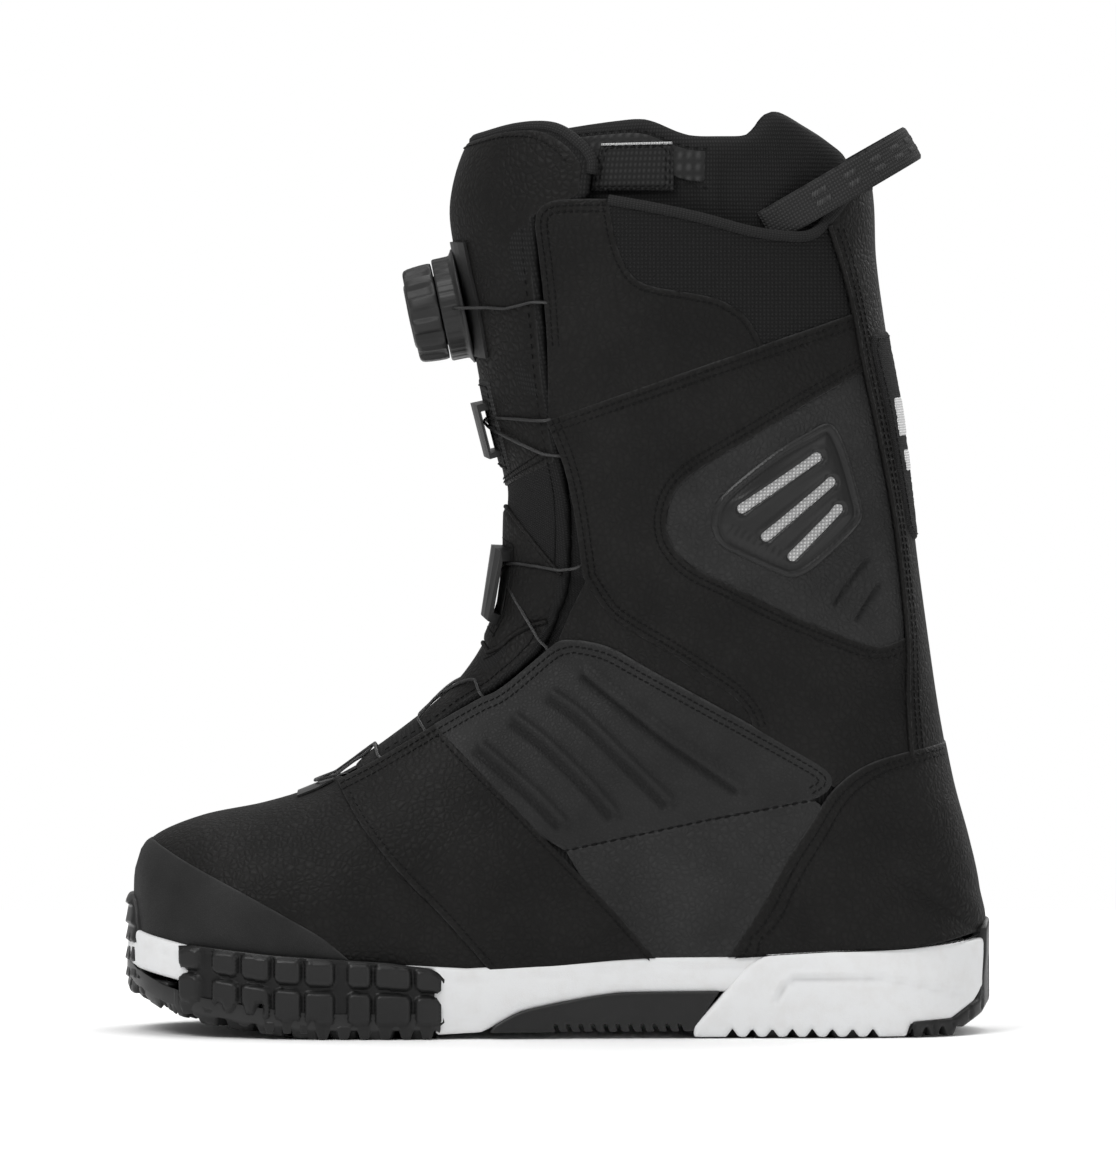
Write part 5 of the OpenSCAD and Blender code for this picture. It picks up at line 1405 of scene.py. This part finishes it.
def half_lace(s, lift):
    """Stations of the lace from the dial to the throat guide, for the half that starts on side s."""
    start = uv([(-8.5, 261.5)])[0]
    points = [on_dial(0, s * 16.8, 5.1), on_dial(0, s * 19.4, 4.9), at(22, s * 0.145, 1.3),
              at(22, s * 0.2, 1.0), at(start[0], s * start[1], 1.0)]
    points += [eye(x, z, s, h) for x, z, h in (
        (-4, 261.4, 0.9), (-1.6, 260.4, -2.2), (-0.4, 257, -2.2), (0.5, 240, -2.2), (0.2, 224, -2.2),
        (-0.8, 220.4, -2.2), (-3, 219.6, 1.6))]
    points += bridge((-7, 219.5), (-4, 207.5), s, lift)
    points += [eye(x, z, -s, h) for x, z, h in (
        (0.2, 207, 0.9), (2.6, 206, -2.2), (3.8, 203, -2.2), (6, 187, -2.2), (9, 172, -2.2),
        (9, 168, -2.2), (6.4, 166.6, 0.9))]
    points += bridge((1.5, 166), (-5.6, 140.2), -s, lift)
    points += [eye(x, z, s, h) for x, z, h in (
        (-3, 138, 0.9), (-4, 134.6, -2.2), (-7, 130.6, -2.2), (-20, 122.6, -2.2), (-25, 119.6, -2.2),
        (-27.4, 121.6, 0.9))]
    points += bridge((-28.5, 126), (-49, 111.5), s, lift * LOW_LIFT)
    points += [eye(x, z, -s, h) for x, z, h in (
        (-46.6, 108, 0.9), (-47.8, 105.2, -2.2), (-52, 102.4, -2.2), (-60, 97.2, -2.2), (-63, 98.2, 1.7))]
    points += bridge((-64.5, 102), (-72, 97.5), -s, lift * LOW_LIFT)
    return np.array(points + [at(5.35, s * 0.09, 1.6), at(5.05, s * 0.05, 1.9), at(4.95, s * 0.012, 1.9)])


def rounded(points, step=0.8):
    """A line through stations with its corners eased."""
    line = resample(points, step)
    for _ in range(3):
        line[1:-1] = (line[:-2] + 2 * line[1:-1] + line[2:]) / 4
    return line


# Where each run leaves the quarter's edge: two points of the side view, above and below
LACE_EDGES = [((-4, 261.4), (-3, 219.6)), ((0.2, 207), (6.4, 166.6)), ((-3, 138), (-27.4, 121.6)),
              ((-46.6, 108), (-63, 98.2)), ((-73, 96.5), (-74, 96))]
LACE_RADIUS = 0.55


def bend_from(obj, first, second, side, before=0.6, after=6.0):
    """Bakes obj's transform into its mesh; the line on the quarter's edge (first, second), side, before and
    after are not used.
    """
    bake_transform(obj)


for s, lift in LACE_LIFTS.items():
    line = rounded(half_lace(s, lift))
    crossings = np.where(np.diff(np.sign(line[:, 1])) != 0)[0].tolist()
    cuts_at = [0] + crossings + [len(line) - 1]
    for rank, (i, j) in enumerate(zip(cuts_at[:-1], cuts_at[1:])):
        run = line[i:j + 1].copy()
        if rank > 0:
            run[0] = (line[i] + line[i + 1]) / 2
        if j < len(line) - 1:
            run = np.concatenate([run, [(line[j] + line[j + 1]) / 2]])
        where = LATERAL if run[len(run) // 2, 1] < 0 else MEDIAL
        verts, faces, flat = tube(run, LACE_RADIUS, sides=8)
        piece = build("lace_run_%d" % (rank + 1) + upper_side[where], verts, faces, "lace_steel", None,
                      flat)
        bend_from(piece, *LACE_EDGES[min(rank, 4)], where)
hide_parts("lace")
for side, end in upper_side.items():
    fold = gusset(side)
    bend_from(fold, (0.2, 207), (-13, 128), side, before=1.0, after=9.0)
    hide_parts("gusset" + end)

# ---------------------------------------------------------------- dial


def turned(name, profile, wobble, material, body, count=240):
    """A turned form on the dial's axis: profile rows are radius and height, wobble scales the radius."""
    angle = np.arange(count) * math.tau / count
    points = []
    for r, h in profile:
        ring = r * wobble(angle, h)
        points.append(DIAL_AT + ring[:, None] * (np.cos(angle)[:, None] * DIAL_UP
                                                 + np.sin(angle)[:, None] * [0, 1, 0])
                      + h * DIAL_OUT)
    points = np.concatenate(points)
    faces = grid_faces(len(profile), count, closed=True).tolist()
    n = (len(profile) - 1) * count
    faces += [list(range(count))[::-1], [n + k for k in range(count)]]
    return build(name, points, faces, material, body, points[:, 1:])


GRIPS = 12


def grip(angle, h):
    """Scalloped grips round the knob's side."""
    hollow = 0.5 + 0.5 * np.clip(np.cos(GRIPS * angle) * 1.8, -1, 1)
    return 1 - 0.085 * hollow * np.clip((h - 10.4) / 1.5, 0, 1) * np.clip((20.9 - h) / 1.2, 0, 1)


KNOB = [(12.5, 9.1), (12.5, 10.0), (16.2, 10.0), (17.2, 10.15), (17.6, 10.7), (17.75, 11.6), (17.7, 14),
        (17.5, 16.5), (17.2, 18.8), (16.8, 19.9), (16.0, 20.5), (15.0, 20.7), (13.2, 20.7), (12.4, 20.3),
        (11.9, 19.6), (11.6, 19.5)]
knob_piece = turned("knob_grip", KNOB, grip, "knob_rubber", "dial_knob", 288)
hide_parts("knob")
CAP = [(11.5, 19.4), (11.5, 20.7), (11.1, 21.15), (10.2, 21.35), (8.6, 21.3), (8.2, 21.0), (7.6, 21.0),
       (7.2, 21.35), (3.4, 21.5), (3.1, 21.1), (2.4, 21.1), (2.1, 21.45), (0.4, 21.5)]
cap_piece = turned("knob_face", CAP, lambda angle, h: np.ones_like(angle), "knob_cap", "dial_knob", 96)
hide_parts("knob_cap")


def housing(angle, h):
    """Shallow ribs round the housing."""
    rib = np.clip(np.cos(30 * angle) * 3, 0, 1)
    return 1 - 0.018 * rib * np.clip((h - 3.5) / 1, 0, 1) * np.clip((9.2 - h) / 0.8, 0, 1)


HOUSING = [(20.6, 1.2), (20.7, 2.0), (19.6, 2.6), (18.7, 3.2), (18.55, 4.0), (18.5, 8.9), (18.2, 9.45),
           (17.6, 9.6), (15.4, 9.6), (15.4, 2.6), (1.0, 2.6)]
housing_piece = turned("dial_housing", HOUSING, housing, "dial_plastic", "tongue", 360)
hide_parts("dial_base")

# ---------------------------------------------------------------- liner

LINER_TOP = np.array([[0, 25.5], [0.2, 25.5], [0.46, 25.6], [0.54, 25.2], [0.668, 25.2], [0.705, 25.68],
                      [0.742, 25.74], [0.805, 25.45], [1, 24.85]])
LINER_OUT, LINER_IN = 6.4, 12.4
CUFF_LOW = 15.0
CUFF_FRONT = 0.2


def liner_top(p):
    p = abs(np.where(p < -1, p + 2, p))
    rows = np.linspace(0, 1, 60)
    table_top = np.interp(rows, LINER_TOP[:, 0], LINER_TOP[:, 1])
    for _ in range(2):
        table_top[1:-1] = (table_top[:-2] + table_top[1:-1] * 2 + table_top[2:]) / 4
    return np.interp(p, rows, table_top)


def closed_shell(outer, inner, flat):
    """A padded slab between two grids of points, closed round its edge: rows by columns."""
    rows, columns = outer.shape[:2]
    points = np.concatenate([outer.reshape(-1, 3), inner.reshape(-1, 3)])
    faces = grid_faces(rows, columns).tolist()
    n = rows * columns
    faces += (grid_faces(rows, columns)[:, ::-1] + n).tolist()
    ring = [j for j in range(columns)] + [i * columns + columns - 1 for i in range(1, rows)]
    ring += [(rows - 1) * columns + j for j in range(columns - 2, -1, -1)]
    ring += [i * columns for i in range(rows - 2, 0, -1)]
    faces += [[b, a, a + n, b + n] for a, b in zip(ring, ring[1:] + ring[:1])]
    return points, faces, np.tile(flat.reshape(-1, 2), (2, 1))


def puff(obj, pinned, cap):
    """Foam under cloth: the cloth simulation blows the piece up between its pinned seams."""
    group = obj.vertex_groups.new(name="pinned")
    group.add([int(k) for k in np.where(pinned)[0]], 1.0, "REPLACE")
    before = np.array([v.co for v in obj.data.vertices])
    cloth = obj.modifiers.new("padding", "CLOTH")
    cloth.settings.use_pressure = True
    cloth.settings.uniform_pressure_force = 4.0
    cloth.settings.vertex_group_mass = "pinned"
    cloth.settings.effector_weights.gravity = 0.0
    cloth.settings.quality = 5
    scene = bpy.context.scene
    for step in range(1, 16):
        scene.frame_set(step)
    evaluated = obj.evaluated_get(bpy.context.evaluated_depsgraph_get())
    after = np.array([v.co for v in evaluated.data.vertices])
    obj.modifiers.remove(cloth)
    scene.frame_set(1)
    move = after - before
    size = np.linalg.norm(move, axis=1, keepdims=True)
    move = np.where(np.isfinite(move), move, 0) * np.minimum(1, cap * MM / np.maximum(size, 1e-9))
    obj.data.vertices.foreach_set("co", (before + move).ravel())
    obj.data.update()


def padded_piece(name, u_rows, p_columns, top_of, material, body, seams_p, outer_depth, inner_depth, cap):
    """A foam piece of the liner between a low row and a top line, with vertical seams at some p."""
    t = np.linspace(0, 1, u_rows)[:, None]
    p = np.asarray(p_columns)[None, :]
    low = CUFF_LOW
    u = low + (top_of(p) - low) * t
    p = p + 0 * t
    # Both faces draw together at the top rim and at the ends, so the edge is round
    rim = np.clip((1 - t) * (top_of(p) - low) * 12 / 4.2, 0, 1)
    ends = np.minimum(p - p_columns[0], p_columns[-1] - p) * 120 / 4.0
    full = np.sqrt(1 - (1 - np.minimum(rim, np.clip(ends, 0, 1))) ** 2)
    middle = (outer_depth + inner_depth) / 2
    half = (inner_depth - outer_depth) / 2 * np.maximum(full, 0.05)
    outer, inner = at(u, p, -(middle - half)), at(u, p, -(middle + half))
    flat = np.stack([p * 170, u * 12], -1)
    points, faces, flat = closed_shell(outer, inner, flat)
    obj = build(name, points, faces, material, body, flat)
    grid_p, grid_t = p.ravel(), (t + 0 * p).ravel()
    pin = (grid_t < 0.05) | (grid_t > 0.985)
    for seam in seams_p:
        pin |= abs(grid_p - seam) < 0.008
    puff(obj, np.tile(pin, 2), cap)
    return obj


cuff_columns = np.linspace(-2 + CUFF_FRONT, -CUFF_FRONT, 150)
cuff_piece = padded_piece("liner_cuff_foam", 56, cuff_columns, liner_top, "liner_foam", "boot",
                          (-1.42, -1.0, -0.58), LINER_OUT, LINER_IN, 1.6)
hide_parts("liner_cuff")
tongue_columns = np.linspace(-0.188, 0.188, 40)
liner_tongue_piece = padded_piece("liner_tongue_foam", 50, tongue_columns, lambda p: 25.45 - 1.6 * p ** 2,
                                  "liner_foam", "liner_tongue", (0.0,), LINER_OUT, LINER_IN - 0.2, 1.2)
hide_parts("liner_tongue")


def liner_chart(points):
    """p and u on the liner's outer face, scaled to about a millimetre."""
    p, u = points[:, 0] / 170, points[:, 1] / 12
    return at(u, p, -LINER_OUT), outward(u, p)


def on_liner(points):
    return np.asarray(points, float) * [170, 12]


rim_p = np.linspace(0.215, 0.57, 60)
for side, end in upper_side.items():
    turn = [side, 1]
    band = np.concatenate([np.stack([rim_p, liner_top(rim_p) - 0.3], 1),
                           np.stack([rim_p, liner_top(rim_p) - 0.85], 1)[::-1]])
    band_loop = resample(on_liner(np.concatenate([band, band[:1]])) * turn, 1.2)[:-1]
    panel("liner_band" + end, band_loop, liner_chart, 0.45, 1.4, "band_knit",
          lambda q: 0.25 * np.cos(q[:, 1] * 2.9), step=0.9, radius=0.4)
    rows = [np.stack([rim_p, liner_top(rim_p) - drop], 1) for drop in (0.24, 0.95)]
    stitches("liner_rim_stitching" + end, [(on_liner(row) * turn, liner_chart, 0.1) for row in rows],
             pitch=2.6)
patch = np.array([(-0.385, 24.2), (-0.52, 24.2), (-0.515, 25.08), (-0.39, 25.08)])
patch_loop = resample(on_liner(np.concatenate([patch, patch[:1]])), 1.2)[:-1]
patch_piece = panel("liner_patch_cloth", patch_loop, liner_chart, 1.3, 1.4, "patch_textile",
                    lambda q: 0.12 * np.sin(q[:, 1] * 3.6), step=1.0)
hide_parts("liner_patch")
patch_middle = patch_loop.mean(0)
stitches("liner_patch_stitching",
         [(patch_middle + (np.concatenate([patch_loop, patch_loop[:1]]) - patch_middle) * k, liner_chart,
           1.4) for k in (0.9, 0.8)],
         pitch=2.0, material="thread")
top_edge = on_liner([(-0.392, 25.06), (-0.513, 25.06)])
piping("liner_patch_edge", top_edge, liner_chart, 1.35, 0.45, "pile_mark")

# ---------------------------------------------------------------- pull loop

LOOP_ENDS, LOOP_REACH, LOOP_HALF_WIDTH = (74.0, 42.6, 287.5), 61.0, 6.4
LOOP_RISE = math.radians(30)


def loop_ribbon():
    """Webbing from one side of the collar round behind the heel to the other side."""
    a = np.linspace(0, math.pi, 121)
    reach = LOOP_REACH * np.sin(a) ** 0.9
    y = LOOP_ENDS[1] * np.sign(np.cos(a)) * abs(np.cos(a)) ** 0.8
    centre = np.stack([LOOP_ENDS[0] + reach * math.cos(LOOP_RISE), y,
                       LOOP_ENDS[2] + reach * math.sin(LOOP_RISE)], 1)
    ahead = unit(np.gradient(centre, axis=0))
    wide = np.array([-math.sin(LOOP_RISE), 0, math.cos(LOOP_RISE)])
    out = unit(np.cross(ahead, wide))
    length = np.r_[0, np.cumsum(np.linalg.norm(np.diff(centre, axis=0), axis=1))]
    across = np.linspace(-1, 1, 15)
    ribs = 0.12 * np.cos(length[:, None] * 2 * np.pi / 1.9) * np.ones(15)[None, :]
    apart = abs(across[None, :])
    dash = (np.mod(length[:, None], 9.0) < 5.2) & (apart < 0.42) & (apart > 0.1)
    edge = np.sqrt(np.maximum(1 - across[None, :] ** 8, 0))
    layers = []
    for face in (1, -1):
        thick = face * (0.72 * edge + ribs * 0.6)
        layers.append(centre[:, None] + across[None, :, None] * LOOP_HALF_WIDTH * wide
                      + thick[..., None] * out[:, None])
    flat = np.stack([length[:, None] + 0 * across[None, :],
                     across[None, :] * LOOP_HALF_WIDTH + 0 * length[:, None]], -1)
    return layers, flat, dash


layers, loop_flat, loop_dash = loop_ribbon()
points, faces, flat = closed_shell(layers[0], layers[1], loop_flat)
loop_piece = build("pull_loop_webbing", points, faces, "webbing_black", "pull_loop", flat)
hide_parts("pull_loop")


def loop_dashes():
    """Woven dashes in two rows, standing a little over the webbing on both faces."""
    points, faces = [], []
    rows, columns = loop_dash.shape
    centre = (layers[0] + layers[1]) / 2
    for layer in layers:
        out = unit(layer - centre)
        for j0, j1 in ((4, 6), (8, 10)):
            for start in range(6, rows - 8, 9):
                block = layer[start:start + 5, j0:j1 + 1] + out[start:start + 5, 7:8] * 0.16
                base = layer[start:start + 5, j0:j1 + 1] - out[start:start + 5, 7:8] * 0.2
                verts, shell, _ = closed_shell(block, base, np.zeros((5, j1 - j0 + 1, 2)))
                faces += [[len(points) * len(verts) + k for k in face] for face in shell]
                points.append(verts)
    return np.concatenate(points), faces


points, faces = loop_dashes()
build("pull_loop_dashes", points, faces, "webbing_dash", "pull_loop", points[:, [1, 0]])

# ---------------------------------------------------------------- heel patch and inner pieces

heel_patch_half = resample([(0, 176), (8, 176.4), (11.5, 180), (16.5, 225), (18.5, 245), (16.5, 249.6),
                            (0, 250.5)], 1.2)
heel_patch_piece = panel("heel_patch_pile", mirrored(heel_patch_half), back_chart, 1.9, 1.0, "pile_patch",
                         lambda q: 0.35 * rng.random(len(q)), step=1.1, radius=0.8)
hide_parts("heel_patch")
for index, (wide, z0, z1) in enumerate(((9, 200.5, 208.5), (11.5, 213, 227))):
    bar = np.array([(0, z0), (wide - 0.6, z0), (wide, z0 + 0.6), (wide, z1 - 0.6), (wide - 0.6, z1),
                    (0, z1)])
    bar_piece = panel("heel_patch_bar_%d" % (index + 1), mirrored(resample(bar, 1.0)), back_chart, 2.3,
                      0.8, "pile_mark", lambda q: 0.2 * rng.random(len(q)), step=1.0)
    if index == 0:
        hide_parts("heel_mark")
ring = np.concatenate([mirrored(heel_patch_half), mirrored(heel_patch_half)[:1]])
ring = np.array([0, 214]) + (ring - [0, 214]) * [0.88, 0.95]
stitches("heel_patch_stitching", [(ring, back_chart, 2.1)], pitch=2.0)

# The CAD pieces that still show take their finishes here
SHOWN = {
    "insole_board": "lasting_board", "shank": "shank_steel", "vamp_lining": "inner_object",
    "quarter_lining_lateral": "inner_object",
    "quarter_lining_medial": "inner_object", "toe_puff": "stiffener_board",
    "heel_stiffener": "stiffener_board",
    "spine_stiffener": "stiffener_board", "tongue_guides": "tpu_black", "throat_guide": "tpu_black",
    "quarter_guides": "webbing_object", "dial_plate": "dial_plastic", "ratchet_ring": "dial_plastic",
    "spool": "spool_plastic",
    "spooled_lace": "screw_steel", "centre_screw": "screw_steel", "pawl_disc": "dial_plastic",
    "liner_foot": "liner_object",
    "footbed": "footbed_object"}
for node, material in SHOWN.items():
    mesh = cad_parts[node].data
    mesh.materials.clear()
    mesh.materials.append(MATERIALS[material])

# ---------------------------------------------------------------- floor

floor_mesh = bpy.data.meshes.new("floor")
floor_mesh.from_pydata([(-1.1, -1.6, 0), (1.1, -1.6, 0), (1.1, 0.75, 0), (-1.1, 0.75, 0)], [],
                       [(0, 1, 2, 3)])
floor = bpy.data.objects.new("floor", floor_mesh)
bpy.context.collection.objects.link(floor)
paper = Nodes("paper", Specular_IOR_Level=0.1)
paper.put(paper.shader.inputs["Alpha"], paper.math("SUBTRACT", 1.0,
                                                   paper.node("NewGeometry", out="Backfacing")))
floor_mesh.materials.append(paper.finish(paper.mix(paper.noise(paper.place(), 5), grey(0.93), grey(0.95)),
                                         0.9))
